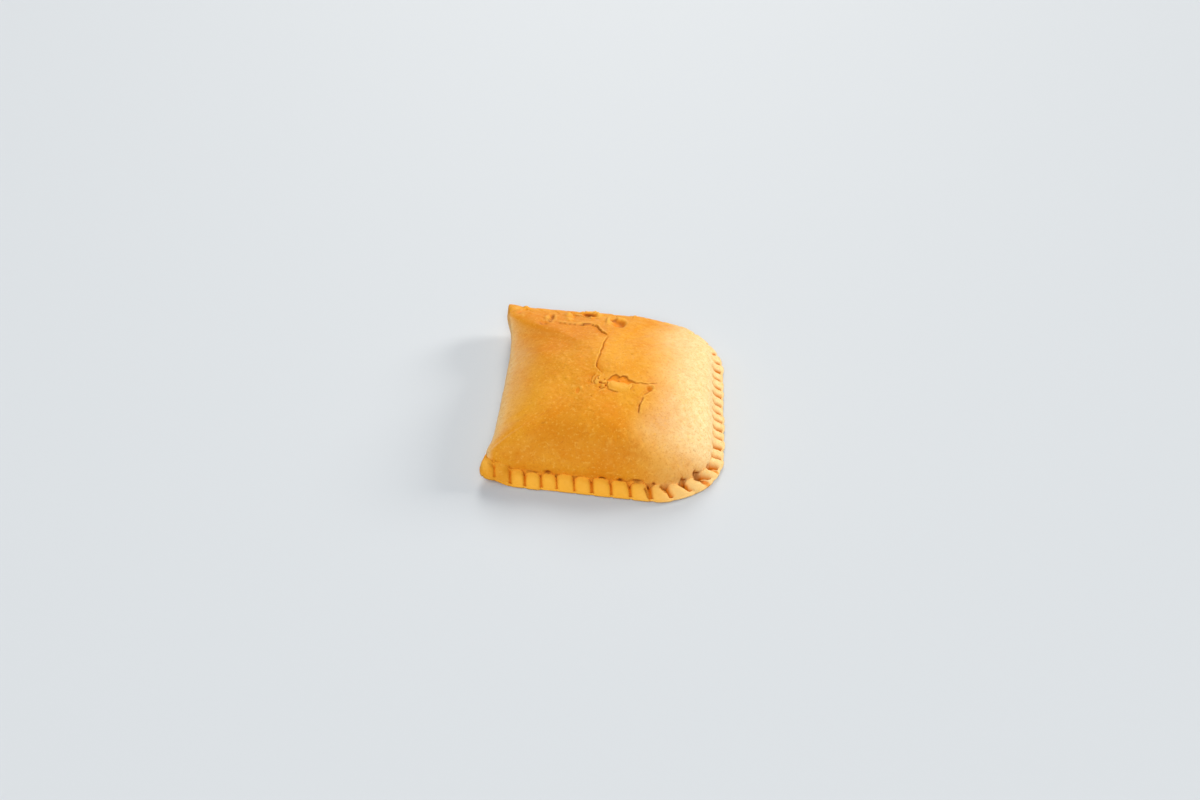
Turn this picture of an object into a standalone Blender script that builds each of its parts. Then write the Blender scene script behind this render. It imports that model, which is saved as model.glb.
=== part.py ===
"""Jamaican patty: a turnover with a fold on its left side and a crimped rim round the rest.

The frame is in metres: +X runs from the fold to the crimped right edge, +Y from front to back and
+Z up. The origin is the middle of the box's bottom face, on the surface that the patty lies on.
Lengths below are in millimetres until the mesh is made, and angles are in degrees.
"""

import math

import bpy
import numpy as np

MM = 0.001

# Corners of the plan before rounding, and their radii, anticlockwise from the back right
CORNER_BACK = (48.6, 57.8)
EAR_BACK = (-49.2, 54.2)
EAR_FRONT = (-50.9, -52.2)
CORNER_FRONT = (49.7, -59.7)
CORNERS = (CORNER_BACK, EAR_BACK, EAR_FRONT, CORNER_FRONT)
OUTLINE_RADII = (30.0, 1.2, 5.0, 28.5)
CREASE_RADII = (24.0, 6.0, 7.0, 22.0)

# Width of the crimped rim on the right, back, fold and front sides
RIM_WIDTHS = (5.5, 6.2, 0.3, 6.0)

# The fold is pulled in between its ears, evenly behind most of it
FOLD_BOW = 4.0
FOLD_REACH = 47.5
FOLD_SQUARENESS = 6.5
FOLD_EASE = 1.5
FOLD_BOW_RANGE = (-50.0, 10.0)

# Heights above the surface that the patty lies on
DOME_HEIGHT = 26.0
SUMMIT = (-1.5, -1.0)
BASE_SHARE = 0.8
RIM_GAP = 0.6
LIP_THICKNESS = 0.8
RIM_THICKNESS = 4.7
RIM_THINNING = 0.2
RIM_THINNING_RANGE = (0.3, 0.55)
FOLD_LOW = 6.2
FOLD_MIDDLE = 8.6
FOLD_BLEND = 14.0
FOLD_LIFT_SHARE = 0.35

# How much thicker the lip is at each ear, and how far round it
EAR_LIPS = ((EAR_BACK, 1.8), (EAR_FRONT, 1.2))
EAR_LIP_REACH = 9.0

# The back edge stands up, highest at its ear. It steps down at the end of a torn layer, and
# again at the back right corner
BACK_LIFT = 8.8
BACK_LIFT_FALL = 0.4
BACK_LIFT_FALL_LENGTH = 60.0
BACK_LIFT_STEP = 0.48
BACK_LIFT_STEP_RANGE = (58.0, 76.0)
BACK_LIFT_END_RANGE = (80.0, 94.0)
BACK_LIFT_FOLD_REACH = 17.0
FRONT_LIFT = 3.0
FRONT_LIFT_REACH = 9.5

# Crimps, at some shares of the rim's run from the front ear round to the back ear:
# their pitch, the lean of their grooves as a share of the pitch, the grooves' half width and depth,
# the share of the way in at which the grooves end, how far a tab's middle stands above its sides,
# 0 for a tab that stands up to 1 for a plain slope, and how far the crease lies below the rim
CRIMP_STATIONS = (0.0, 0.03, 0.045, 0.1, 0.2, 0.27, 0.345, 0.38, 0.42, 0.47, 0.53, 0.6, 0.66, 1.0)
CRIMP_PITCHES = (6.0, 6.3, 6.4, 6.9, 8.0, 8.5, 9.6, 6.2, 6.1, 5.5, 5.5, 6.2, 9.0, 6.4)
CRIMP_LEANS = (0.48, 0.44, 0.42, 0.36, 0.3, 0.5, 0.7, 0.35, -0.08, -0.05, 0.0, 0.0, 0.0, 0.0)
GROOVE_HALF_WIDTHS = (0.6, 0.6, 0.6, 0.6, 0.65, 1.0, 1.2, 1.0, 0.8, 0.7, 0.65, 0.65, 0.6, 0.6)
GROOVE_DEPTHS = (1.4, 1.4, 1.5, 1.5, 1.5, 1.9, 2.2, 1.9, 1.6, 1.4, 1.4, 1.3, 1.3, 1.3)
GROOVE_ENDS = (0.85, 0.85, 1.2, 1.2, 1.2, 1.2, 1.2, 1.2, 1.2, 1.2, 1.2, 0.97, 0.5, 0.4)
TAB_CROWNS = (0.3, 0.3, 0.6, 0.6, 0.65, 0.95, 1.2, 1.0, 0.4, 0.15, 0.12, 0.1, 0.1, 0.15)
RIM_SLOPES = (0.7, 0.7, 0.2, 0.2, 0.2, 0.3, 0.4, 0.6, 1.0, 1.0, 1.0, 1.0, 0.8, 0.4)
CREASE_DEPTHS = (-0.6, -0.5, 0.7, 1.1, 1.1, 1.1, 1.2, 0.8, -0.5, -0.8, -0.8, -0.5, -0.1, -0.1)
FIRST_CRIMP = 0.3
TAB_CROWN_POWER = 0.7
GROOVE_END_FADE = (-0.12, 0.04)

# Cross-section of the rim, by the share of the way from the outline in to the crease
LIP_SHARE = 0.07
TAB_SHARES = (0.09, 0.14, 0.2, 0.28, 0.38, 0.5, 0.62, 0.74, 0.84, 0.9, 0.95, 0.98)
TAB_START = 0.06
TAB_SHOULDER = 0.72
TAB_ROUNDNESS = 2.4
TAB_INNER_DROP = 0.2
TAB_INNER_DROP_RANGE = (0.9, 1.0)
SLOPE_POWER = 0.8
GROOVE_FADE = (0.05, 0.3)

# Dome: its rings turn from the crease's outline into an oval at this share of the way out
INNER_SHARE = 0.5
INNER_HALF_WIDTH = 43.0
INNER_HALF_LENGTH = 50.0
MORPH_POWER = 2.2
FRONT_OVERHANG = 0.5
OVERHANG_CLIMB = 0.33
MEAN_REACH = 50.0

# Fullness is the power of the dome's profile. Its back and its front ear slope more gently
FULLNESS = 2.25
FULLNESS_TO_FOLD = 0.24
FULLNESS_TO_FRONT = 0.4
GENTLE_BACK = 0.5
GENTLE_BACK_HEADING = 105.0
GENTLE_EAR = 0.1
GENTLE_EAR_SPREAD = 26.0

# Lengths and heights of the waves that make the dome uneven
LUMPS = ((46.0, 0.22), (33.0, 0.18), (24.0, 0.13), (17.0, 0.09))
LUMP_SEED = 12

# Cracks in the top layer: half width, depth, then the plan points that each runs through
CRACKS = {
    "broken_layer": (0.5, 0.7, (
        (-24.0, 34.8), (-16.3, 33.0), (-11.2, 35.0), (-7.9, 32.7), (-5.3, 25.2), (-2.5, 22.0))),
    "long_crack": (0.55, 1.2, (
        (-2.5, 22.0), (-4.0, 8.2), (-5.9, -1.8), (-4.8, -6.1), (-2.4, -10.3), (-0.3, -10.9))),
    "flake_left": (0.45, 0.8, ((-2.4, -10.3), (-1.0, -14.5), (-0.4, -17.0), (3.0, -17.4))),
    "flake_right": (0.4, 0.6, ((9.2, -11.0), (9.5, -14.2), (8.7, -16.3))),
    "fine_fold": (0.4, 0.5, ((11.2, -11.6), (16.1, -11.2), (20.4, -9.0))),
    "crack_down": (0.5, 0.8, ((16.4, -12.1), (17.7, -13.5), (15.5, -17.8), (13.6, -21.5), (13.1, -27.5))),
    "crescent": (0.8, 1.0, ((-28.0, 43.0), (-28.3, 39.0), (-29.4, 35.1))),
    "back_crack": (0.7, 1.1, ((-19.5, 47.0), (-15.4, 45.4), (-10.6, 41.4))),
}

# Oval pits and bumps: middle, half sizes along X and Y, and depth, negative where it stands proud
PITS = {
    "hole_at_back": (1.6, 37.6, 3.1, 5.0, 2.0),
    "red_hole": (-11.6, 46.4, 2.2, 2.8, 1.7),
    "dimple": (-32.0, 34.6, 2.0, 1.5, 0.9),
    "lifted_flake": (-30.5, 38.8, 1.4, 3.0, -0.6),
    "blister": (-21.7, 44.2, 1.6, 2.0, -0.8),
    "pinhole_large": (-3.9, -13.3, 0.9, 0.8, 0.9),
    "pinhole_middle": (-3.9, -15.9, 0.7, 0.6, 0.8),
    "pinhole_small": (-1.4, -15.1, 0.6, 0.6, 0.7),
}
PIT_WALL = (0.55, 1.15)

# Gaps in the front seam: a point on the crease, the half width along it and the depth. All of
# them reach equally far up the wall and down the rim
SEAM_GAPS = {
    "left": (-22.9, -47.8, 1.6, 1.2),
    "middle": (-0.6, -49.6, 1.6, 0.9),
    "right": (6.8, -50.2, 1.4, 1.0),
    "deep": (13.6, -50.8, 2.2, 1.6),
    "corner": (32.7, -48.6, 1.7, 1.1),
    "last": (38.2, -43.9, 1.6, 1.1),
}
SEAM_GAP_MIDDLE = 0.6
SEAM_GAP_REACH = 1.3

# Edge and depth of the torn opening in the middle of the top
TEAR_EDGE = (
    (-0.3, -10.9), (0.8, -9.1), (2.5, -8.0), (4.2, -9.2), (5.3, -8.4), (7.0, -8.8), (7.8, -10.4),
    (11.2, -11.6), (7.7, -12.8), (3.4, -12.2))
TEAR_DEPTH = 1.5
TEAR_WALL = 0.5

# Mesh before it is thinned
COLUMNS = 640
UNDERSIDE_ROWS = 7
DOME_ROWS = 36
TARGET_TRIANGLES = 9000

CRUST_COLOUR = (0.72, 0.24, 0.022, 1.0)
CRUST_ROUGHNESS = 0.7


def smoothstep(value, low, high):
    """Share that rises from 0 at low to 1 at high with level ends."""
    share = np.clip((value - low) / (high - low), 0.0, 1.0)
    return share * share * (3.0 - 2.0 * share)


def headings(corners, k):
    """Unit directions of the sides that end and begin at a corner."""
    before = np.subtract(corners[k], corners[k - 1])
    after = np.subtract(corners[(k + 1) % len(corners)], corners[k])
    return before / np.linalg.norm(before), after / np.linalg.norm(after)


def inset_corners(corners, widths):
    """Corners where the sides meet once each has moved inward by its width."""
    inset = []
    for k, corner in enumerate(corners):
        before, after = headings(corners, k)
        normals = np.array([[-before[1], before[0]], [-after[1], after[0]]])
        moved = [widths[k], widths[(k + 1) % len(corners)]]
        inset.append(np.array(corner) + np.linalg.solve(normals, moved))
    return inset


class RoundedOutline:
    """Closed plan of straight sides and corner arcs, from the middle of the right side anticlockwise.

    Its pieces are numbered along it: sides are even and arcs are odd.
    """

    def __init__(self, corners, radii):
        self.arcs = []
        for k, (corner, radius) in enumerate(zip(corners, radii)):
            before, after = headings(corners, k)
            turn = math.acos(float(np.dot(before, after)))
            cut = radius * math.tan(turn / 2)
            begin = corner - before * cut
            centre = begin + radius * np.array([-before[1], before[0]])
            angle = math.atan2(begin[1] - centre[1], begin[0] - centre[0])
            self.arcs.append((begin, corner + after * cut, centre, radius, angle, turn))
        middle = (self.arcs[-1][1] + self.arcs[0][0]) / 2
        self.sides = [(middle, self.arcs[0][0])]
        for earlier, later in zip(self.arcs[:-1], self.arcs[1:]):
            self.sides.append((earlier[1], later[0]))
        self.sides.append((self.arcs[-1][1], middle))

    def piece_starts(self):
        """Distance along the outline at which each piece starts, then the whole length."""
        lengths = []
        for k, (begin, end) in enumerate(self.sides):
            lengths.append(float(np.linalg.norm(end - begin)))
            if k < len(self.arcs):
                lengths.append(self.arcs[k][3] * self.arcs[k][5])
        return np.concatenate([[0.0], np.cumsum(lengths)])

    def points(self, piece, share):
        """Plan points at a share of the way along a piece, for whole arrays."""
        plan = np.zeros((len(piece), 2))
        for k, (begin, end) in enumerate(self.sides):
            here = piece == 2 * k
            plan[here] = begin + (end - begin) * share[here][:, None]
        for k, (_, _, centre, radius, angle, turn) in enumerate(self.arcs):
            here = piece == 2 * k + 1
            direction = angle + turn * share[here]
            plan[here] = centre + radius * np.column_stack([np.cos(direction), np.sin(direction)])
        return plan


def bow_fold(plan):
    """Pull the fold's side in between the ears, less and less towards the right."""
    along = np.clip(np.abs(plan[:, 1]) / FOLD_REACH, 0.0, 1.0)
    bow = FOLD_BOW * (1.0 - along ** FOLD_SQUARENESS) ** FOLD_EASE
    bow = bow * (1.0 - smoothstep(plan[:, 0], *FOLD_BOW_RANGE))
    return np.column_stack([plan[:, 0] + bow, plan[:, 1]])


def edge_lift(plan):
    """How far the back edge and the front ear stand up off the surface."""
    along = plan[:, 0] - EAR_BACK[0]
    back = BACK_LIFT * (1.0 - BACK_LIFT_FALL * along / BACK_LIFT_FALL_LENGTH)
    back = back * (1.0 - BACK_LIFT_STEP * smoothstep(along, *BACK_LIFT_STEP_RANGE))
    back = back * (1.0 - smoothstep(along, *BACK_LIFT_END_RANGE))
    back = back * np.exp(-np.abs((plan[:, 1] - EAR_BACK[1]) / BACK_LIFT_FOLD_REACH) ** 3)
    away = np.hypot(plan[:, 0] - EAR_FRONT[0], plan[:, 1] - EAR_FRONT[1])
    return back + FRONT_LIFT * np.exp(-(away / FRONT_LIFT_REACH) ** 4)


class Columns:
    """What each column of the mesh needs to know, evenly spaced round the outline."""

    def __init__(self):
        outline = RoundedOutline(CORNERS, OUTLINE_RADII)
        crease = RoundedOutline(inset_corners(CORNERS, RIM_WIDTHS), CREASE_RADII)
        starts = outline.piece_starts()
        distance = np.arange(COLUMNS) / COLUMNS * starts[-1]
        piece = np.searchsorted(starts, distance, side="right") - 1
        share = (distance - starts[piece]) / np.diff(starts)[piece]
        self.angle = 2.0 * math.pi * np.arange(COLUMNS) / COLUMNS
        self.edge = bow_fold(outline.points(piece, share))
        self.inner = bow_fold(crease.points(piece, share))

        # The ears are the middles of the second and third arcs, pieces 3 and 5
        ear_back = (starts[3] + starts[4]) / 2
        ear_front = (starts[5] + starts[6]) / 2
        self.fold = smoothstep(np.minimum(distance - ear_back, ear_front - distance), 0.0, FOLD_BLEND)
        run = starts[-1] - ear_front + ear_back
        self.run_share = np.mod(distance - ear_front, starts[-1]) / run
        self.set_crimps(run)

        self.lip = np.full(COLUMNS, LIP_THICKNESS)
        for (x, y), extra in EAR_LIPS:
            away = np.hypot(self.edge[:, 0] - x, self.edge[:, 1] - y)
            self.lip += extra * np.exp(-(away / EAR_LIP_REACH) ** 2)
        lift = edge_lift(self.edge)
        self.fold_lift = FOLD_LIFT_SHARE * lift
        self.under = RIM_GAP + lift
        thinning = RIM_THINNING * smoothstep(self.run_share, *RIM_THINNING_RANGE)
        self.rim_top = self.under + RIM_THICKNESS - thinning
        self.crease_height = self.blend(self.rim_top - self.crease_depth, FOLD_MIDDLE + self.fold_lift)

    def along_rim(self, values):
        """Values at the crimps' stations, carried over to every column."""
        return np.interp(self.run_share, CRIMP_STATIONS, values)

    def set_crimps(self, run):
        """Crimp count along the rim, the summed inverse of the pitch, with the crimps' other sizes."""
        fine = np.linspace(0.0, 1.0, 2000)
        pitch = np.interp(fine, CRIMP_STATIONS, CRIMP_PITCHES)
        count = np.cumsum(run * np.diff(fine) * 2.0 / (pitch[1:] + pitch[:-1]))
        self.phase = FIRST_CRIMP + np.interp(self.run_share, fine[1:], count)
        self.pitch = self.along_rim(CRIMP_PITCHES)
        self.lean = self.along_rim(CRIMP_LEANS)
        self.groove_half_width = self.along_rim(GROOVE_HALF_WIDTHS)
        self.groove_depth = self.along_rim(GROOVE_DEPTHS)
        self.groove_end = self.along_rim(GROOVE_ENDS)
        self.crown = self.along_rim(TAB_CROWNS)
        self.slope = self.along_rim(RIM_SLOPES)
        self.crease_depth = self.along_rim(CREASE_DEPTHS)

    def blend(self, rim_value, fold_value):
        """Value of the rim on the crimped sides and of the fold on the folded side."""
        return rim_value * (1.0 - self.fold) + fold_value * self.fold


def distance_to_line(plan, points):
    """Distance from plan points to a line of straight runs."""
    nearest = np.full(len(plan), np.inf)
    for begin, end in zip(points[:-1], points[1:]):
        run = np.subtract(end, begin)
        share = np.clip((plan - begin) @ run / (run @ run), 0.0, 1.0)
        nearest = np.minimum(nearest, np.linalg.norm(plan - begin - share[:, None] * run, axis=1))
    return nearest


def surrounded(plan, points):
    """Whether each plan point lies inside a closed line."""
    inside = np.zeros(len(plan), dtype=bool)
    for (x0, y0), (x1, y1) in zip(points, points[1:] + points[:1]):
        spans = (y0 > plan[:, 1]) != (y1 > plan[:, 1])
        rise = y1 - y0 if y1 != y0 else 1.0
        inside ^= spans & (plan[:, 0] < x0 + (plan[:, 1] - y0) * (x1 - x0) / rise)
    return inside


def relief_depth(plan):
    """Depth of the cracks, pits and torn opening below the smooth crust."""
    depth = np.zeros(len(plan))
    for half_width, deep, points in CRACKS.values():
        depth += deep * np.exp(-(distance_to_line(plan, points) / half_width) ** 2)
    for x, y, half_x, half_y, deep in PITS.values():
        away = np.hypot((plan[:, 0] - x) / half_x, (plan[:, 1] - y) / half_y)
        depth += deep * (1.0 - smoothstep(away, *PIT_WALL))
    away = distance_to_line(plan, TEAR_EDGE + TEAR_EDGE[:1])
    signed = np.where(surrounded(plan, TEAR_EDGE), away, -away)
    return depth + TEAR_DEPTH * smoothstep(signed, -TEAR_WALL / 2, TEAR_WALL / 2)


def dome_rise(share, angle):
    """Share of the dome's height at a share of the way out from the summit.

    The profile is a superellipse, fuller at the front and the fold than at the right and the back.
    """
    fullness = FULLNESS - FULLNESS_TO_FOLD * np.cos(angle) - FULLNESS_TO_FRONT * np.sin(angle)
    from_back = np.cos(angle - math.radians(GENTLE_BACK_HEADING))
    gentle_back = GENTLE_BACK * np.clip(from_back, 0.0, 1.0) ** 1.5
    ear_heading = math.atan2(EAR_FRONT[1] - SUMMIT[1], EAR_FRONT[0] - SUMMIT[0])
    from_ear = np.angle(np.exp(1j * (angle - ear_heading)))
    gentle_ear = GENTLE_EAR * np.exp(-(from_ear / math.radians(GENTLE_EAR_SPREAD)) ** 2)
    return np.clip(1.0 - share ** fullness, 0.0, 1.0) ** (0.5 + gentle_back + gentle_ear)


def unevenness(plan):
    """Gentle lumps that the filling gives the dome, as a sum of a few long waves."""
    draw = np.random.default_rng(LUMP_SEED)
    height = np.zeros(len(plan))
    for wavelength, amount in LUMPS:
        for heading, offset in draw.uniform(0.0, 2.0 * math.pi, (2, 2)):
            across = plan[:, 0] * math.cos(heading) + plan[:, 1] * math.sin(heading)
            height += amount * np.sin(2.0 * math.pi * across / wavelength + offset)
    return height


def underside_rings(columns):
    """Rings from the flat base out to the edge: a gentle rise to the rim, a quarter round to the fold."""
    base = SUMMIT + BASE_SHARE * (columns.edge - SUMMIT)
    rings = []
    for k in range(UNDERSIDE_ROWS):
        out = math.sin(math.pi / 2 * k / UNDERSIDE_ROWS)
        round_rise = 1.0 - math.sqrt(1.0 - out ** 2)
        height = columns.blend(columns.under * out ** 2, (FOLD_LOW + columns.fold_lift) * round_rise)
        rings.append(np.column_stack([base + (columns.edge - base) * out, height]))
    return rings


def seam_gap(columns, up_wall):
    """Depth of the gaps in the seam at a distance up the wall from the crease, negative on the rim."""
    depth = np.zeros(COLUMNS)
    for x, y, half_width, deep in SEAM_GAPS.values():
        along = np.hypot(columns.inner[:, 0] - x, columns.inner[:, 1] - y) / half_width
        across = (up_wall - SEAM_GAP_MIDDLE) / SEAM_GAP_REACH
        depth += deep * np.exp(-along ** 2 - across ** 2)
    return depth


def rim_section():
    """Rows of the rim: share of the way in, rise of a tab and of a slope, and weight of the grooves."""
    rows = [(0.0, 0.0, 0.0, 0.0), (LIP_SHARE, 0.0, 0.0, 0.0)]
    for share in TAB_SHARES:
        climb = min(1.0, (share - TAB_START) / (TAB_SHOULDER - TAB_START))
        drop = 1.0 - TAB_INNER_DROP * smoothstep(share, *TAB_INNER_DROP_RANGE)
        slope = ((share - TAB_START) / (1.0 - TAB_START)) ** SLOPE_POWER
        tab = (1.0 - (1.0 - climb) ** TAB_ROUNDNESS) * drop
        rows.append((share, tab, slope, smoothstep(share, *GROOVE_FADE)))
    return rows


def rim_rings(columns):
    """Rings over the rim: a thin lip, then tabs or a slope with grooves pressed across."""
    edge, across = columns.edge, columns.inner - columns.edge
    low = columns.under + columns.lip
    top = columns.rim_top - columns.slope * np.minimum(columns.crease_depth, 0.0)
    fold_low = FOLD_LOW + columns.fold_lift
    rings = [np.column_stack([edge, columns.blend(columns.under, fold_low)])]
    for inward, tab, slope, weight in rim_section():
        plan = edge + across * inward
        phase = columns.phase + columns.lean * (inward - 0.5)
        off_groove = np.abs(phase - np.rint(phase)) * columns.pitch
        groove = columns.groove_depth * np.exp(-(off_groove / columns.groove_half_width) ** 2)
        begin, end = (columns.groove_end + fade for fade in GROOVE_END_FADE)
        groove = groove * (1.0 - smoothstep(inward, begin, end))
        crown = columns.crown * (1.0 - (2.0 * off_groove / columns.pitch) ** TAB_CROWN_POWER)
        rise = tab + (slope - tab) * columns.slope
        gap = seam_gap(columns, (inward - 1.0) * RIM_WIDTHS[-1])
        rim_height = low + (top - low) * rise - weight * (groove + crown) - gap
        height = columns.blend(rim_height, fold_low + (FOLD_MIDDLE - FOLD_LOW) * inward)
        rings.append(np.column_stack([plan, height - weight * relief_depth(plan)]))
    return rings


def oval_points(angle):
    """Plan direction and reach of the oval that the dome's inner rings follow."""
    return np.column_stack([INNER_HALF_WIDTH * np.cos(angle), INNER_HALF_LENGTH * np.sin(angle)])


def dome_height(plan, rise, crease_height, lumps=1.0):
    """Height of the dome's surface, from its rise above the crease."""
    smooth = crease_height * (1.0 - rise) + DOME_HEIGHT * rise
    return smooth + unevenness(plan) * lumps - relief_depth(plan)


def dome_rings(columns):
    """Rings from the crease up to the oval, closer together where the wall is steep."""
    oval = oval_points(columns.angle)
    top = math.asin(INNER_SHARE)
    rings = []
    for k in range(DOME_ROWS + 1):
        climb = k / DOME_ROWS
        out = math.sin(math.pi / 2 + (top - math.pi / 2) * climb)
        morph = smoothstep(out, INNER_SHARE, 1.0) ** MORPH_POWER
        away = oval * (1.0 - morph) + (columns.inner - SUMMIT) * morph
        swell = math.sin(math.pi * min(1.0, climb / OVERHANG_CLIMB))
        overhang = FRONT_OVERHANG * swell * np.clip(-np.sin(columns.angle), 0.0, 1.0)
        rise = dome_rise(np.full(COLUMNS, out), columns.angle)
        gap = seam_gap(columns, (DOME_HEIGHT - columns.crease_height) * rise)
        plan = SUMMIT + away * (out + (overhang - gap) / MEAN_REACH)[:, None]
        height = dome_height(plan, rise, columns.crease_height, smoothstep(rise, 0.1, 0.6))
        rings.append(np.column_stack([plan, height]))
    return rings


def top_grid(columns, last_ring):
    """Vertices and faces of a square grid spread over the oval, whose border is the last ring.

    A grid point's radius is its larger coordinate, and its angle runs evenly along the square's side.
    """
    steps = np.linspace(-1.0, 1.0, COLUMNS // 4 + 1)
    across, along = np.meshgrid(steps, steps, indexing="ij")
    radius = np.maximum(np.abs(across), np.abs(along))
    safe = np.where(radius == 0.0, 1.0, radius)
    on_x_sides = np.abs(across) >= np.abs(along)
    x_side = np.where(across >= 0.0, 0.0, math.pi) + math.pi / 4 * along / safe * np.sign(across)
    y_side = np.sign(along) * (math.pi / 2 - math.pi / 4 * across / safe)
    angle = np.where(on_x_sides, x_side, y_side)

    border = np.isclose(radius, 1.0)
    nearest_column = np.rint(angle / (2.0 * math.pi) * COLUMNS).astype(int) % COLUMNS
    index = last_ring + nearest_column
    index[~border] = last_ring + COLUMNS + np.arange(np.count_nonzero(~border))

    angle, out = angle[~border], INNER_SHARE * radius[~border]
    plan = SUMMIT + oval_points(angle) * out[:, None]
    crease_height = np.interp(angle, columns.angle, columns.crease_height, period=2.0 * math.pi)
    height = dome_height(plan, dome_rise(out, angle), crease_height)
    faces = np.stack([index[:-1, :-1], index[1:, :-1], index[1:, 1:], index[:-1, 1:]], axis=-1)
    return np.column_stack([plan, height]), faces.reshape(-1, 4)


def patty_surface():
    """Vertices, in millimetres, and faces of the whole patty, as one closed body."""
    columns = Columns()
    rings = underside_rings(columns) + rim_rings(columns) + dome_rings(columns)
    column = np.arange(COLUMNS)
    beside = (column + 1) % COLUMNS
    faces = [column[::-1].tolist()]
    for k in range(len(rings) - 1):
        low, high = k * COLUMNS, (k + 1) * COLUMNS
        faces.extend(np.column_stack([low + column, low + beside, high + beside, high + column]).tolist())
    grid_vertices, grid_faces = top_grid(columns, (len(rings) - 1) * COLUMNS)
    faces.extend(grid_faces.tolist())
    return np.concatenate(rings + [grid_vertices]), faces


def crust_material():
    """Baked yellow crust."""
    material = bpy.data.materials.new("baked_crust")
    material.use_nodes = True
    shader = material.node_tree.nodes["Principled BSDF"]
    shader.inputs["Base Color"].default_value = CRUST_COLOUR
    shader.inputs["Roughness"].default_value = CRUST_ROUGHNESS
    shader.inputs["Metallic"].default_value = 0.0
    return material


def build_patty():
    """The patty, centred on its box and thinned to a moderate number of triangles."""
    vertices, faces = patty_surface()
    low, high = vertices.min(axis=0), vertices.max(axis=0)
    middle = np.array([(low[0] + high[0]) / 2, (low[1] + high[1]) / 2, low[2]])
    mesh = bpy.data.meshes.new("patty")
    mesh.from_pydata(((vertices - middle) * MM).tolist(), [], faces)
    mesh.shade_smooth()
    mesh.materials.append(crust_material())
    patty = bpy.data.objects.new("patty", mesh)
    bpy.context.scene.collection.objects.link(patty)
    thin = patty.modifiers.new("thin", "DECIMATE")
    thin.decimate_type = "COLLAPSE"
    thin.ratio = TARGET_TRIANGLES / sum(len(face) - 2 for face in faces)
    thin.use_collapse_triangulate = True


for old in list(bpy.data.objects):
    bpy.data.objects.remove(old, do_unlink=True)
build_patty()
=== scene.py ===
# Jamaican patty: a turnover with a smooth fold on its left side and a crimped rim round the rest.
# The frame is in metres, +X from the fold to the crimped right edge, +Y to the back and +Z up.
# Lengths in the dictionaries are in millimetres and angles in degrees.

import math

import bpy
import numpy as np
from mathutils import Matrix


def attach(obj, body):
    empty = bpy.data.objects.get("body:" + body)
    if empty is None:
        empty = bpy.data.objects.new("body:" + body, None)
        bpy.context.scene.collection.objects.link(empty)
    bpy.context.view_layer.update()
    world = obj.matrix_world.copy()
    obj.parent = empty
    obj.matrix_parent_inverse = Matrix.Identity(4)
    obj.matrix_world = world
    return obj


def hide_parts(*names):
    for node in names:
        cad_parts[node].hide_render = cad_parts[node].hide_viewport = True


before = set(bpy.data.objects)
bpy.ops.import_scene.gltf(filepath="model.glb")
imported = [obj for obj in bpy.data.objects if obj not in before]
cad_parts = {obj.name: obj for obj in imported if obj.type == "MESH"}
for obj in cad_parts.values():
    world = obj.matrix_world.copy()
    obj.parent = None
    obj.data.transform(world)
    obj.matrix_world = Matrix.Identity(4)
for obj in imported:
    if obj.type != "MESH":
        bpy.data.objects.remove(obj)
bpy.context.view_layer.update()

millimetre = 0.001
fullTurn = 2.0 * math.pi


# Shared helpers

def toLinear(hexColour):
    # sRGB hex to linear: the dark part is divided, the rest is a power curve
    channels = [int(hexColour[k:k + 2], 16) / 255.0 for k in (1, 3, 5)]
    linear = [c / 12.92 if c <= 0.04045 else ((c + 0.055) / 1.055) ** 2.4 for c in channels]
    return (*linear, 1.0)


def addNode(tree, kind, inputs=(), **settings):
    # Adds a node, sets its properties, and gives each input a value or another node's output
    made = tree.nodes.new(kind)
    for key, value in settings.items():
        setattr(made, key, value)
    for key, value in dict(inputs).items():
        if isinstance(value, bpy.types.NodeSocket):
            tree.links.new(value, made.inputs[key])
        else:
            made.inputs[key].default_value = value
    return made


def newMaterial(name):
    material = bpy.data.materials.new(name)
    material.use_nodes = True
    return material, material.node_tree, material.node_tree.nodes["Principled BSDF"]


def ease(value, low, high):
    # Rises from 0 at low to 1 at high, level at both ends: 3t^2 - 2t^3
    share = np.clip((value - low) / (high - low), 0, 1)
    return share * share * (3.0 - 2.0 * share)


def ramp(value, amount, low, high):
    # Comes in from low to high, which may be the lower of the two
    return amount * ease(value, low, high)


def bell(value, width):
    # 1 in the middle, falling off as exp(-(value / width)^2)
    return np.exp(-(value / width) ** 2)


def grain(plan, wavelength, seed, octaves=1, amount=1.0):
    # Smooth noise within about the amount: random heights on a square lattice, blended between its
    # points with level ends, each octave half as long and half as high as the one before
    total = np.zeros(len(plan))
    for octave in range(octaves):
        lattice = np.random.default_rng(seed + octave).uniform(-1.0, 1.0, (128, 128))
        place = plan / wavelength * 2 ** octave
        cell = np.floor(place).astype(int)
        u, v = ease(place - cell, 0.0, 1.0).T
        i, j = (cell % 128).T
        k, m = (i + 1) % 128, (j + 1) % 128
        near = lattice[i, j] * (1 - u) + lattice[k, j] * u
        far = lattice[i, m] * (1 - u) + lattice[k, m] * u
        total += (near * (1 - v) + far * v) / 2 ** octave
    return amount * total


# The patty's form

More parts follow.
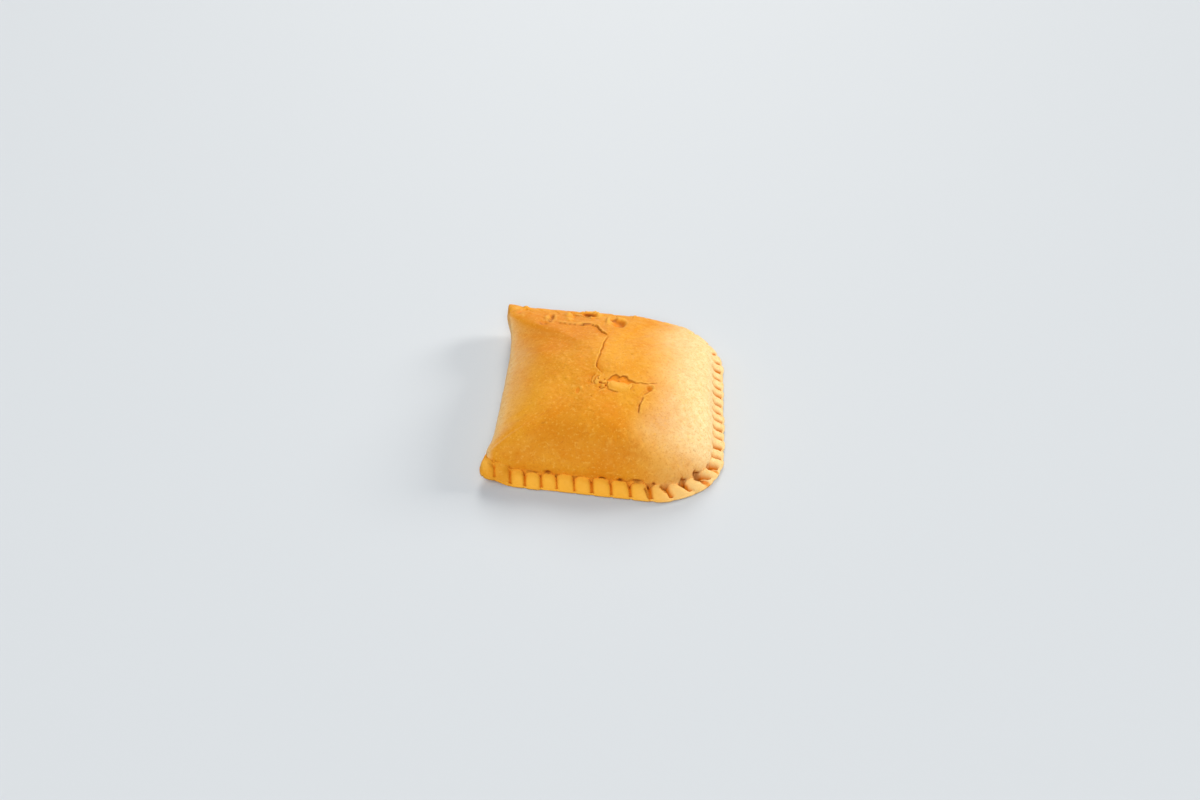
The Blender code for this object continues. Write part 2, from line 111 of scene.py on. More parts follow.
form = {
    "corners": ((48.6, 57.8), (-49.2, 54.2), (-50.9, -52.2), (49.7, -59.7)),  # from the back right
    "outlineRadii": (30.0, 1.2, 5.0, 28.5),
    "creaseRadii": (24.0, 6.0, 7.0, 22.0),
    "rimWidths": (5.5, 6.2, 0.3, 6.0),  # right, back, fold and front
    "shift": (0.706, 0.394),  # from the plan's own middle to the frame's
    "foldBow": 4.0,  # how far the fold is pulled in between its ears
    "foldReach": 47.5,
    "foldSquareness": 6.5,
    "foldEase": 1.5,
    "foldBowRange": (-50.0, 10.0),
    "foldLow": 6.2,
    "foldMiddle": 8.6,
    "foldBlend": 14.0,
    "foldLiftShare": 0.35,
    "height": 26.0,
    "summit": (-1.5, -1.0),
    "baseShare": 0.8,  # the flat middle of the underside
    "rimGap": 0.6,
    "lip": 0.8,
    "earLips": (((-49.2, 54.2), 1.8), ((-50.9, -52.2), 1.2)),  # how much thicker it is at each ear
    "earLipReach": 9.0,
    "rimThickness": 4.7,
    "rimThinning": (0.2, 0.3, 0.55),  # amount and range, as ramp() has them
    "backLift": 8.8,  # the back edge stands up, most at its ear
    "backLiftFall": 0.4,
    "backLiftFallLength": 60.0,
    "backLiftStep": (0.48, 58.0, 76.0),
    "backLiftEndRange": (80.0, 94.0),
    "backLiftFoldReach": 17.0,
    "frontLift": 3.0,
    "frontLiftReach": 9.5,
    "fullness": 2.25,
    "fullnessToFold": 0.24,
    "fullnessToFront": 0.4,
    "domePower": 0.5,
    "gentleBack": 0.5,
    "gentleBackPower": 1.5,
    "gentleBackHeading": 105.0,
    "gentleEar": 0.1,
    "gentleEarSpread": 26.0,
    "ovalHalfSize": (43.0, 50.0),
    "morphStart": 0.5,
    "morphPower": 2.2,
    "frontOverhang": 0.5,
    "overhangReach": 50.0,  # from the summit to the front wall
    "overhangRows": 0.33,  # the share of the dome's rows that lean out
    "lumps": ((46.0, 0.22), (33.0, 0.18), (24.0, 0.13), (17.0, 0.09)),  # wavelengths and heights
    "lumpSeed": 12,
    "lumpFade": (0.1, 0.6),
    "spacingSteps": 12000,  # round the outline, to space the columns by
    "columns": 840,
    "undersideRows": 7,
    "domeRows": 34,
    "gridShare": 0.62,  # the top inside this share of the way out is a square grid
}

crimps = {
    # The lists give a value at each station, a share of the rim's run from the front ear to the back one
    "stations": (0.0, 0.03, 0.045, 0.1, 0.2, 0.29, 0.315, 0.345, 0.38, 0.42, 0.47, 0.53, 0.6, 0.66, 1.0),
    "pitches": (6.0, 6.3, 6.3, 6.9, 8.1, 8.8, 13.7, 8.5, 7.1, 5.9, 5.2, 5.6, 5.8, 8.9, 6.4),
    "leans": (0.48, 0.44, 0.42, 0.36, 0.3, 0.55, 0.62, 0.7, 0.4, 0.18, 0.22, 0.25, 0.25, 0.2, 0.0),
    "grooveHalfWidths": (0.36, 0.36, 0.36, 0.36, 0.4, 0.89, 0.94, 0.95, 0.85, 0.8, 0.8, 0.75, 0.65, 0.5, 0.5),
    "depths": (1.1, 1.1, 1.2, 1.2, 1.3, 1.95, 2.02, 2.4, 2.2, 2.2, 2.1, 2.1, 1.5, 0.8, 0.6),
    "grooveStarts": (0.02, 0.02, 0.02, 0.02, 0.02, 0.08, 0.1, 0.12, 0.1, 0.07, 0.05, 0.05, 0.1, 0.1, 0.1),
    # Broad rounding beside the grooves
    "shoulders": (0.3, 0.3, 0.5, 0.5, 0.5, 0.47, 0.44, 0.4, 0.3, 0.15, 0.05, 0.0, 0.0, 0.0, 0.0),
    "crowns": (0.4, 0.4, 0.9, 0.9, 1.0, 1.58, 1.5, 1.2, 0.8, 0.3, 0.12, 0.08, 0.08, 0.05, 0.05),
    # High is a flatter top
    "crownPowers": (3.2, 3.2, 3.2, 3.2, 2.8, 2.15, 2.08, 2.0, 2.0, 2.0, 2.0, 2.0, 2.0, 2.0, 2.0),
    # Of a groove's inner end
    "widenings": (0.1, 0.1, 0.1, 0.1, 0.3, 1.18, 1.2, 0.7, 0.5, 0.1, 0.05, 0.0, 0.0, 0.0, 0.0),
    # 0 stands up as a tab, 1 slopes
    "slopes": (0.7, 0.7, 0.2, 0.2, 0.2, 0.33, 0.36, 0.4, 0.6, 1.0, 1.0, 1.0, 1.0, 0.8, 0.4),
    "creaseDepths": (-0.6, -0.5, 0.3, 1.0, 1.1, 1.13, 1.16, 1.2, 0.8, -0.5, -0.8, -0.8, -0.5, -0.1, -0.1),
    # Past 1 is no end
    "grooveEnds": (0.85, 0.85, 1.2, 1.2, 1.2, 1.2, 1.2, 1.2, 1.2, 1.2, 1.2, 1.2, 0.97, 0.5, 0.4),
    # Share of the uneven height below
    "uneven": (0.6, 0.6, 1.0, 1.0, 1.0, 1.0, 1.0, 1.0, 0.7, 0.3, 0.2, 0.2, 0.6, 1.0, 0.3),
    "runUp": 1.2,  # how far the right side's grooves climb the dome's wall
    "first": 0.3,
    "crowding": 0.55,  # how much closer the mesh's columns stand at a groove
    "rowShares": (0.0, 0.04, 0.07, 0.1, 0.13, 0.17, 0.22, 0.28, 0.36, 0.45, 0.54, 0.63, 0.72, 0.8,
                  0.86, 0.91, 0.95, 0.98),
    "seed": 7,
    "drawn": 80,  # more tabs and grooves than there are
    "countingSteps": 2000,
    "strayShare": 0.03,  # how far a groove strays, as a share of a crimp
    "widthShare": 0.25,  # how much the grooves' widths differ
    "depthShare": 0.2,
    "edgeOpening": (0.5, 0.25, 0.05),  # how much wider a groove is at the outer edge
    "wideningRange": (0.5, 1.0),
    "shoulderHalfWidth": 1.5,
    "shoulderGrowth": (0.6, 0.8, 1.0),
    "endFade": (-0.12, 0.04),  # from before a groove's end to past it
    "startFade": (0.15, 0.8),  # how soon a groove reaches its depth, and more where it starts late
    "tabStart": 0.06,
    "tabRun": 0.66,
    "tabPower": 2.4,
    "tabFall": (0.3, 0.93, 1.0),  # how much a tab's inner end comes down again
    "slopeStart": 0.04,
    "slopePower": 0.8,
    "deepening": (0.5, 0.4, 0.9),  # how much deeper a sloping side's grooves get inward
    "unevenHeight": 0.3,
    "unevenReach": (0.35, 0.6, 0.1),
    "innerReach": (0.7, 0.7, 0.95),
    "innerRound": (0.5, 0.78, 0.92),  # how far the corners of a tab's inner end are drawn back
    "innerRoundWidth": 1.0,
    "scallop": (0.6, 0.5, 0.0),  # how far the outer edge is drawn in at a groove
}

seamGaps = {  # where the front seam gapes: point on the crease, half width and depth
    "left": (-22.9, -47.8, 1.5, 1.3),
    "middle": (-0.6, -49.6, 1.5, 0.9),
    "right": (6.8, -50.2, 1.2, 1.0),
    "deep": (13.6, -50.8, 2.2, 2.4),
    "afterDeep": (20.5, -51.2, 0.9, 0.7),
    "corner": (32.7, -48.6, 1.5, 1.2),
    "last": (38.2, -43.9, 1.5, 1.3),
}

cuts = {  # deep cuts at the front right corner: half width, depth, strength of the painted shade at the inner end, then the run
    "deepest": (1.1, 2.6, 1.0, ((36.6, -46.0), (41.2, -46.3), (45.2, -46.7))),
    "beforeDeepest": (0.7, 1.2, 0.6, ((31.6, -49.3), (33.0, -50.2), (34.8, -51.2))),
    "afterDeepest": (0.8, 1.1, 0.35, ((41.8, -39.8), (44.6, -39.7), (48.0, -39.3))),
    "third": (0.6, 1.0, 0.7, ((23.4, -52.2), (24.6, -53.4), (26.4, -55.2))),
    "fourth": (0.5, 0.8, 0.6, ((17.2, -53.4), (18.3, -55.4), (20.0, -58.0))),
}

cutShape = {
    "bend": (0.15, 1.8, 6, 16),  # as in relief below
    "start": (-0.05, 0.12),
    "end": (0.7, 1.0),
    "narrowing": (1.15, 0.4),
    "darkRange": (0.15, 0.75),
    "darkEnd": (0.25, 0.7),
    "bareRange": (0.1, 0.6),
}

seam = {  # where the dome's wall meets the rim
    "gapBand": (0.7, 1.1),  # height up the wall and half width
    "gapShade": (0.25, 0.8),
    "climbDepth": 1.2,
    "fillet": (0.85, 1.5),  # height and reach
    "seamedFrom": (0.025, 0.05),  # shares of the run, as the first tabs merge with the dome
    "frontRange": (30.0, 42.0),
    "crumbHeight": 0.22,
    "crumbReach": 0.9,
    # painted shade in the front crease: strength and half width
    "toast_and_shade": (0.7, 1.2),
    "shade": (0.6, 0.3, 0.55),  # darkness, height up the wall and half width
}


def roundedPlan(corners, radii):
    # Straight sides joined by corner arcs that touch them; sides and arcs start at the right
    # side's middle and run anticlockwise
    corners, radii = np.array(corners), np.array(radii)
    before = corners - np.roll(corners, 1, axis=0)
    before /= np.linalg.norm(before, axis=1)[:, None]
    after = np.roll(before, -1, axis=0)
    turn = np.arccos((before * after).sum(axis=1))
    cut = (radii * np.tan(turn / 2))[:, None]
    begin, end = corners - before * cut, corners + after * cut
    centre = begin + radii[:, None] * np.column_stack([-before[:, 1], before[:, 0]])
    angle = np.arctan2(begin[:, 1] - centre[:, 1], begin[:, 0] - centre[:, 0])
    middle = (end[-1:] + begin[:1]) / 2
    return {"begin": np.concatenate([middle, end]), "end": np.concatenate([begin, middle]),
            "centre": centre, "radius": radii, "angle": angle, "turn": turn}


def planPoints(plan, piece, share):
    # Even pieces are sides, start + (end - start) * share; odd ones are arcs,
    # centre + radius * (cos, sin) of the angle turned so far
    side = piece // 2
    arc = np.minimum(side, 3)
    onSide = plan["begin"][side] + (plan["end"] - plan["begin"])[side] * share[:, None]
    heading = plan["angle"][arc] + plan["turn"][arc] * share
    unit = np.column_stack([np.cos(heading), np.sin(heading)])
    onArc = plan["centre"][arc] + plan["radius"][arc][:, None] * unit
    return np.where((piece % 2 == 0)[:, None], onSide, onArc)


def insetCorners(corners, widths):
    # Each side moves inward by its width, and the new corners are where neighbours meet
    corners = np.array(corners)
    before = corners - np.roll(corners, 1, axis=0)
    before /= np.linalg.norm(before, axis=1)[:, None]
    normals = np.column_stack([-before[:, 1], before[:, 0]])
    pairs = np.stack([normals, np.roll(normals, -1, axis=0)], axis=1)
    moved = np.stack([widths, np.roll(widths, -1)], axis=1)[..., None]
    return corners + np.linalg.solve(pairs, moved)[..., 0]


def bowFold(plan):
    # The fold is pulled in by bow * (1 - |y / reach|^squareness)^ease, fading towards the right
    along = np.clip(np.abs(plan[:, 1]) / form["foldReach"], 0, 1)
    bow = form["foldBow"] * (1 - along ** form["foldSquareness"]) ** form["foldEase"]
    bow = bow * (1 - ease(plan[:, 0], *form["foldBowRange"]))
    return np.column_stack([plan[:, 0] + bow, plan[:, 1]])


def edgeLift(plan):
    # The back edge's lift falls in a straight line, with a step down where a torn layer ends and
    # another at the corner. The front ear's is flat at first, exp(-(away / reach)^4)
    along = plan[:, 0] - form["corners"][1][0]
    back = form["backLift"] * (1 - form["backLiftFall"] * along / form["backLiftFallLength"])
    back *= 1 - ramp(along, *form["backLiftStep"])
    back *= 1 - ease(along, *form["backLiftEndRange"])
    back *= np.exp(-np.abs((plan[:, 1] - form["corners"][1][1]) / form["backLiftFoldReach"]) ** 3)
    away = np.hypot(*(plan - form["corners"][2]).T)
    return back + form["frontLift"] * np.exp(-(away / form["frontLiftReach"]) ** 4)


def crimpPhase(runShare, run):
    # Crimps so far along the rim, the running sum of 1 / pitch
    fine = np.linspace(0.0, 1.0, crimps["countingSteps"])
    pitch = np.interp(fine, crimps["stations"], crimps["pitches"])
    counted = np.cumsum(run * np.diff(fine) * 2.0 / (pitch[1:] + pitch[:-1]))
    return crimps["first"] + np.interp(runShare, fine[1:], counted)


def roundColumns():
    # Columns of the mesh, evenly spaced along the outline, with what each one needs to know
    count = form["columns"]
    outline = roundedPlan(form["corners"], form["outlineRadii"])
    crease = roundedPlan(insetCorners(form["corners"], form["rimWidths"]), form["creaseRadii"])
    lengths = np.zeros(9)
    lengths[0::2] = np.linalg.norm(outline["end"] - outline["begin"], axis=1)
    lengths[1::2] = outline["radius"] * outline["turn"]
    starts = np.concatenate([[0.0], np.cumsum(lengths)])
    earBack, earFront = (starts[3] + starts[4]) / 2, (starts[5] + starts[6]) / 2
    run = starts[-1] - earFront + earBack

    # Columns crowd together at the grooves: their density follows 1 + c * cos(2 pi * crimps so far)
    fine = np.linspace(0.0, starts[-1], form["spacingSteps"])
    fineShare = np.mod(fine - earFront, starts[-1]) / run
    density = 1 + crimps["crowding"] * np.cos(fullTurn * crimpPhase(fineShare, run)) * (fineShare < 1.0)
    counted = np.concatenate([[0.0], np.cumsum((density[1:] + density[:-1]) / 2)])
    distance = np.interp(np.arange(count) / count * counted[-1], counted, fine)
    piece = np.searchsorted(starts, distance, side="right") - 1
    share = (distance - starts[piece]) / lengths[piece]
    col = {"angle": fullTurn * np.arange(count) / count}
    col["edge"] = bowFold(planPoints(outline, piece, share))
    col["inner"] = bowFold(planPoints(crease, piece, share))

    col["fold"] = ease(np.minimum(distance - earBack, earFront - distance), 0.0, form["foldBlend"])
    col["runShare"] = np.mod(distance - earFront, starts[-1]) / run
    col["phase"] = crimpPhase(col["runShare"], run)
    for name in ("pitches", "leans", "grooveHalfWidths", "depths", "grooveStarts", "grooveEnds",
                 "shoulders", "crowns", "crownPowers", "widenings", "slopes", "creaseDepths", "uneven"):
        col[name] = np.interp(col["runShare"], crimps["stations"], crimps[name])

    col["lip"] = np.full(count, form["lip"])
    for place, extra in form["earLips"]:
        col["lip"] += extra * bell(np.hypot(*(col["edge"] - place).T), form["earLipReach"])
    lift = edgeLift(col["edge"])
    col["foldLift"] = form["foldLiftShare"] * lift
    col["under"] = form["rimGap"] + lift
    thinning = ramp(col["runShare"], *form["rimThinning"])
    col["rimTop"] = col["under"] + form["rimThickness"] - thinning
    rimCrease = col["rimTop"] - col["creaseDepths"]
    col["creaseHeight"] = rimCrease + (form["foldMiddle"] + col["foldLift"] - rimCrease) * col["fold"]
    return col


def blendFold(col, rimValue, foldValue):
    return rimValue + (foldValue - rimValue) * col["fold"]


def undersideRows(col):
    # A gentle rise, under * out^2, to the rim, and a quarter round, 1 - sqrt(1 - out^2), to the fold
    out = np.sin(math.pi / 2 * np.arange(form["undersideRows"]) / form["undersideRows"])[:, None]
    base = form["summit"] + form["baseShare"] * (col["edge"] - form["summit"])
    plan = base + (col["edge"] - base) * out[..., None]
    height = blendFold(col, col["under"] * out ** 2,
                       (form["foldLow"] + col["foldLift"]) * (1 - np.sqrt(1 - out ** 2)))
    return np.concatenate([plan, height[..., None]], axis=-1)


def rimRows(col):
    # Out from the lip and up over the tabs: a tab climbs as 1 - (1 - t)^tabPower and a slope as
    # t^slopePower, a bell-shaped groove is pressed between each two, and each tab has its own
    # height and reach
    draw = np.random.default_rng(crimps["seed"])
    drawn = draw.uniform(-1.0, 1.0, (6, crimps["drawn"]))
    tabHeight, tabReach, innerReach, grooveShare, grooveWidth, grooveShift = drawn
    inward = np.array(crimps["rowShares"])[:, None]
    phase = col["phase"] + col["leans"] * (inward - 0.5)
    tab, groove = np.floor(phase).astype(int), np.rint(phase).astype(int)
    offGroove = np.abs(phase - groove + crimps["strayShare"] * grooveShift[groove]) * col["pitches"]
    opening = 1 + col["widenings"] * ease(inward, *crimps["wideningRange"])
    opening = opening + ramp(inward, *crimps["edgeOpening"])
    ownWidth = 1 + crimps["widthShare"] * grooveWidth[groove]
    cleft = bell(offGroove, col["grooveHalfWidths"] * ownWidth * opening)
    fadeFrom, fadeTo = crimps["endFade"]
    cleft = cleft * (1 - ease(inward, col["grooveEnds"] + fadeFrom, col["grooveEnds"] + fadeTo))
    shoulder = bell(offGroove, crimps["shoulderHalfWidth"]) * (1 + ramp(inward, *crimps["shoulderGrowth"]))
    soon, later = crimps["startFade"]
    weight = ease(inward - col["grooveStarts"], 0.0, soon + later * col["grooveStarts"])
    unfolded = 1 - col["fold"]
    tabOnly = (1 - cleft) * unfolded

    climb = np.clip((inward - crimps["tabStart"]) / crimps["tabRun"], 0, 1)
    tabRise = (1 - (1 - climb) ** crimps["tabPower"]) * (1 - ramp(inward, *crimps["tabFall"]))
    slope = (inward - crimps["slopeStart"]) / (1 - crimps["slopeStart"])
    slopeRise = np.clip(slope, 0, 1) ** crimps["slopePower"]
    low = col["under"] + col["lip"]
    top = col["rimTop"] - col["slopes"] * np.minimum(col["creaseDepths"], 0.0)
    height = low + (top - low) * (tabRise + (slopeRise - tabRise) * col["slopes"])
    offMiddle = np.clip(2.0 * offGroove / col["pitches"], 0, 1)
    crown = col["crowns"] * (1 - offMiddle) ** col["crownPowers"]
    deeper = 1 + ramp(inward, *crimps["deepening"]) * col["slopes"]
    pressed = col["depths"] * (1 + crimps["depthShare"] * grooveShare[groove]) * deeper * cleft
    height -= weight * (pressed + crown + col["shoulders"] * shoulder)
    height += crimps["unevenHeight"] * col["uneven"] * tabHeight[tab] * weight * tabOnly
    height = blendFold(col, height, form["foldLow"] + col["foldLift"]
                       + (form["foldMiddle"] - form["foldLow"]) * inward)

    # Each tab is slid in or out along the plan, and the edge is drawn in at the grooves
    across = col["inner"] - col["edge"]
    unit = across / np.maximum(np.linalg.norm(across, axis=1), 0.3)[:, None]
    upright = 1 - col["slopes"]
    slide = ramp(inward, *crimps["unevenReach"]) * tabReach[tab]
    slide = slide + ramp(inward, *crimps["innerReach"]) * innerReach[tab] * upright
    slide = slide + ramp(inward, *crimps["scallop"]) * cleft
    slide -= ramp(inward, *crimps["innerRound"]) * bell(offGroove, crimps["innerRoundWidth"]) * upright
    plan = col["edge"] + across * inward[..., None] + unit * (slide * unfolded)[..., None]
    rows = np.concatenate([plan, height[..., None]], axis=-1)
    lipHeight = blendFold(col, col["under"], form["foldLow"] + col["foldLift"])
    lipLow = np.column_stack([plan[0], lipHeight])
    # Where the grooves get their painted shade
    marks = cleft * weight * unfolded
    return np.concatenate([lipLow[None], rows]), np.concatenate([marks[:1] * 0.0, marks])


def domeRise(share, angle):
    # A superellipse profile, (1 - share^fullness)^domePower, fuller at the front and the fold,
    # gentler at the back and the front ear
    fullness = form["fullness"] - form["fullnessToFold"] * np.cos(angle)
    fullness = fullness - form["fullnessToFront"] * np.sin(angle)
    fromBack = np.cos(angle - math.radians(form["gentleBackHeading"]))
    gentle = form["gentleBack"] * np.clip(fromBack, 0, 1) ** form["gentleBackPower"]
    earHeading = math.atan2(form["corners"][2][1] - form["summit"][1],
                            form["corners"][2][0] - form["summit"][0])
    fromEar = np.angle(np.exp(1j * (angle - earHeading)))
    gentle = gentle + form["gentleEar"] * bell(fromEar, math.radians(form["gentleEarSpread"]))
    return np.clip(1 - share ** fullness, 0, 1) ** (form["domePower"] + gentle)


def unevenness(plan):
    # Gentle lumps from the filling: the sum of a few long sine waves in random directions
    draw = np.random.default_rng(form["lumpSeed"])
    height = np.zeros(plan.shape[:-1])
    for wavelength, amount in form["lumps"]:
        for heading, offset in draw.uniform(0.0, fullTurn, (2, 2)):
            across = plan[..., 0] * math.cos(heading) + plan[..., 1] * math.sin(heading)
            height += amount * np.sin(fullTurn * across / wavelength + offset)
    return height


def domePoints(col, share, angle, swell=0.0):
    # Plan: an oval near the summit that turns into the crease's outline further out.
    # Height: from the crease up to the summit by the dome's rise
    around = {"period": fullTurn}
    inner = np.stack([np.interp(angle, col["angle"], col["inner"][:, k], **around) for k in (0, 1)], axis=-1)
    creaseHeight = np.interp(angle, col["angle"], col["creaseHeight"], **around)
    unit = np.stack([np.cos(angle), np.sin(angle)], axis=-1)
    morph = (ease(share, form["morphStart"], 1.0) ** form["morphPower"])[..., None]
    away = form["ovalHalfSize"] * unit * (1 - morph) + (inner - form["summit"]) * morph
    overhang = form["frontOverhang"] / form["overhangReach"] * swell * np.clip(-np.sin(angle), 0, 1)
    plan = form["summit"] + away * (share + overhang)[..., None]
    rise = domeRise(share, angle)
    height = creaseHeight * (1 - rise) + form["height"] * rise
    height = height + unevenness(plan) * ease(rise, *form["lumpFade"])
    return np.concatenate([plan, height[..., None]], axis=-1)


def domeRows(col):
    # Rings from the crease to the square grid: share = sin of an even angle, close on the wall
    climb = (np.arange(form["domeRows"] + 1) / form["domeRows"])[:, None]
    top = math.asin(form["gridShare"])
    share = np.sin(math.pi / 2 + (top - math.pi / 2) * climb)
    swell = np.sin(math.pi * np.clip(climb / form["overhangRows"], 0, 1))
    share, angle, swell = np.broadcast_arrays(share, col["angle"], swell)
    return domePoints(col, share, angle, swell)


def topGrid(col, lastRow):
    # A square grid: a point's radius is its larger coordinate, and its angle runs evenly along
    # the square's side, so that the border meets the last ring
    count = form["columns"]
    steps = np.linspace(-1.0, 1.0, count // 4 + 1)
    across, along = np.meshgrid(steps, steps, indexing="ij")
    radius = np.maximum(np.abs(across), np.abs(along))
    safe = np.where(radius == 0.0, 1.0, radius)
    xSide = np.where(across >= 0.0, 0.0, math.pi) + math.pi / 4 * along / safe * np.sign(across)
    ySide = np.sign(along) * (math.pi / 2 - math.pi / 4 * across / safe)
    angle = np.where(np.abs(across) >= np.abs(along), xSide, ySide)
    border = np.isclose(radius, 1.0)
    index = lastRow + np.rint(angle / fullTurn * count).astype(int) % count
    index[~border] = lastRow + count + np.arange(np.count_nonzero(~border))
    points = domePoints(col, form["gridShare"] * radius[~border], angle[~border])
    faces = np.stack([index[:-1, :-1], index[1:, :-1], index[1:, 1:], index[:-1, 1:]], axis=-1)
    return points, faces.reshape(-1, 4)


# Relief of the baked top, in the plan's own millimetres

cracks = {  # half width, depth, how far the left of the run stands up, then the run
    "brokenLayerLeft": (0.5, 0.12, 0.4, ((-27.0, 36.0), (-24.0, 34.8), (-16.3, 33.0), (-11.2, 34.6))),
    "brokenLayer": (0.35, 0.4, 0.4, (
        (-17.0, 33.0), (-11.2, 34.6), (-7.9, 32.7), (-5.3, 25.2), (-2.5, 22.0))),
    "longCrack": (0.25, 0.4, -0.4, (
        (-2.3, 22.4), (-4.0, 13.0), (-4.6, 6.2), (-5.9, -1.8), (-6.0, -4.1), (-4.8, -6.1), (-2.4, -8.6))),
    "flakeLeft": (0.26, 0.4, 0.15, (
        (-1.2, -12.0), (-0.7, -13.4), (-1.0, -14.8), (-0.2, -16.4), (1.3, -17.4), (4.6, -17.7))),
    "flakeRight": (0.22, 0.14, -0.1, ((9.4, -12.4), (9.5, -14.2), (8.7, -16.3))),
    "fineFold": (0.24, 0.2, 0.15, ((11.2, -11.6), (16.1, -11.2), (20.4, -9.0))),
    "crackHigh": (0.24, 0.22, 0.1, ((17.2, -14.4), (16.2, -16.4), (14.6, -18.0))),
    "crackDown": (0.32, 0.42, 0.15, ((14.6, -18.6), (13.8, -21.5), (13.1, -23.8), (13.1, -28.5))),
    "dashHigh": (0.25, 0.25, 0.1, ((-4.4, -9.0), (-5.0, -10.4), (-4.6, -11.8))),
    "dashLow": (0.25, 0.3, 0.1, ((-6.7, -12.0), (-6.3, -13.6), (-5.7, -14.6))),
    "crescent": (0.6, 0.9, 0.25, ((-28.0, 44.2), (-28.3, 39.0), (-29.4, 35.1))),
    "backCrack": (0.4, 0.3, 0.5, ((-19.5, 46.4), (-15.4, 44.4), (-12.0, 43.0), (-9.6, 42.0))),
    "ringHigh": (0.24, 0.16, 0.12, ((-5.9, -8.4), (-7.4, -10.4), (-7.6, -12.6), (-6.9, -14.4))),
    "ringInner": (0.22, 0.12, 0.1, ((-5.0, -9.4), (-6.0, -11.0), (-6.1, -12.8))),
    "knotLine": (0.3, 0.35, 0.1, ((-4.2, -13.0), (-3.1, -13.8), (-1.4, -13.4))),
    "knotLow": (0.3, 0.35, 0.1, ((-4.4, -16.0), (-3.2, -16.7), (-1.6, -15.8))),
}

pits = {  # middle, half sizes along X and Y, depth, the strength of its painted shade and the heading of its shaded side
    "holeAtBack": (1.6, 37.6, 3.0, 4.8, 2.4, 0.9, -50.0),
    "holeTail": (-0.8, 42.0, 1.8, 2.6, 1.4, 0.7, 90.0),
    "redHole": (-12.0, 46.8, 3.4, 3.0, 2.2, 0.75, 90.0),
    "redChannel": (-17.0, 48.0, 3.4, 0.9, 0.7, 0.25, 90.0),
    "redHoleTail": (-9.6, 42.6, 1.5, 1.2, 0.9, 0.5, 0.0),
    "dimple": (-32.0, 35.0, 2.3, 1.9, 1.1, 0.9, -90.0),
    "redHoleWall": (-12.2, 48.6, 3.2, 1.4, 0.3, 0.8, 90.0),
    "holeWallDark": (1.8, 40.6, 2.9, 1.8, 0.4, 0.7, 60.0),
    "earPitLeft": (-43.4, 45.2, 1.1, 1.8, 0.7, 0.4, 0.0),
    "earPitRight": (-41.0, 47.6, 0.9, 1.2, 0.6, 0.4, 0.0),
    "pinholeLarge": (-3.9, -13.3, 0.9, 0.7, 0.9, 1.0, 90.0),
    "pinholeMiddle": (-3.9, -15.9, 0.7, 0.5, 0.7, 0.6, 90.0),
    "pinholeSmall": (-1.5, -14.9, 0.5, 0.8, 0.8, 0.7, 90.0),
    "pinholeHigh": (-2.1, -11.6, 0.4, 0.5, 0.5, 0.5, 90.0),
    "sideDimple": (-13.0, -17.8, 0.9, 1.9, 0.3, 0.15, 180.0),
    "notch": (16.9, -13.6, 1.2, 1.7, 0.9, 0.6, -100.0),
    "backPinhole": (-18.5, 43.3, 0.6, 0.8, 0.5, 0.6, 0.0),
}

bumps = {  # middle, half sizes along X and Y, and height
    "liftedFlake": (-30.3, 39.4, 1.2, 3.4, 0.9),
    "blister": (-21.2, 44.6, 1.9, 2.6, 1.0),
    "blisterLow": (-20.6, 39.6, 2.0, 2.0, 0.6),
    "earCrumbLeft": (-45.4, 49.6, 1.7, 1.6, 0.8),
    "earCrumbRight": (-41.0, 50.6, 1.5, 1.4, 1.0),
    "holeWall": (-3.4, 41.0, 0.9, 6.4, 0.8),
    "holeTop": (1.5, 43.6, 3.6, 1.5, 0.9),
    "redHoleTop": (-12.6, 50.6, 6.0, 1.9, 0.8),
    "redHoleRight": (-8.0, 49.0, 2.0, 1.6, 0.6),
    "notchCrumb": (18.3, -12.2, 0.9, 0.8, 0.5),
    "dimpleEdge": (-11.4, -16.5, 0.8, 1.1, 0.2),
    "knobHigh": (-2.7, -15.0, 0.9, 0.7, 0.4),
    "knobLow": (-2.5, -17.2, 1.2, 0.8, 0.25),
    "knobSide": (-5.2, -13.0, 0.9, 1.6, 0.22),
    "earLobe": (-49.6, -48.6, 3.6, 4.0, 0.9),
    "layerEnd": (7.8, 51.0, 2.2, 1.6, 0.7),
    "backCrumbMiddle": (23.0, 49.0, 2.4, 1.4, 0.6),
    "backCrumbRight": (33.6, 44.2, 2.0, 1.3, 0.5),
    "smallFlake": (-9.2, 50.6, 2.2, 1.0, 0.5),
}

browningAndShade = {  # middle, radius and amount of the darker and, where negative, paler patches: some are browned crust, and those on the front wall and at the back are painted shade
    "aboveFold": (17.5, -9.0, 3.0, 0.6),
    "rightOfCrack": (0.0, 4.0, 5.0, -0.4),
    "leftShoulder": (-24.0, 14.0, 12.0, 0.35),
    "frontWall": (-2.0, -44.0, 15.0, 0.4),
    "frontLeft": (-24.0, -38.0, 14.0, 0.4),
    "frontRight": (23.0, -29.0, 6.0, 0.5),
    "belowFlake": (6.0, -22.0, 5.0, -0.4),
    "besideNotch": (12.5, -15.0, 3.0, -0.4),
    "backLeft": (-32.0, 32.0, 15.0, 0.6),
    "backMiddle": (-14.0, 27.0, 10.0, 0.5),
    "backEdge": (-22.0, 52.0, 9.0, 0.3),
    "topMiddle": (4.0, 14.0, 10.0, -0.3),
    "foldFront": (-33.0, -25.0, 11.0, -0.6),
}

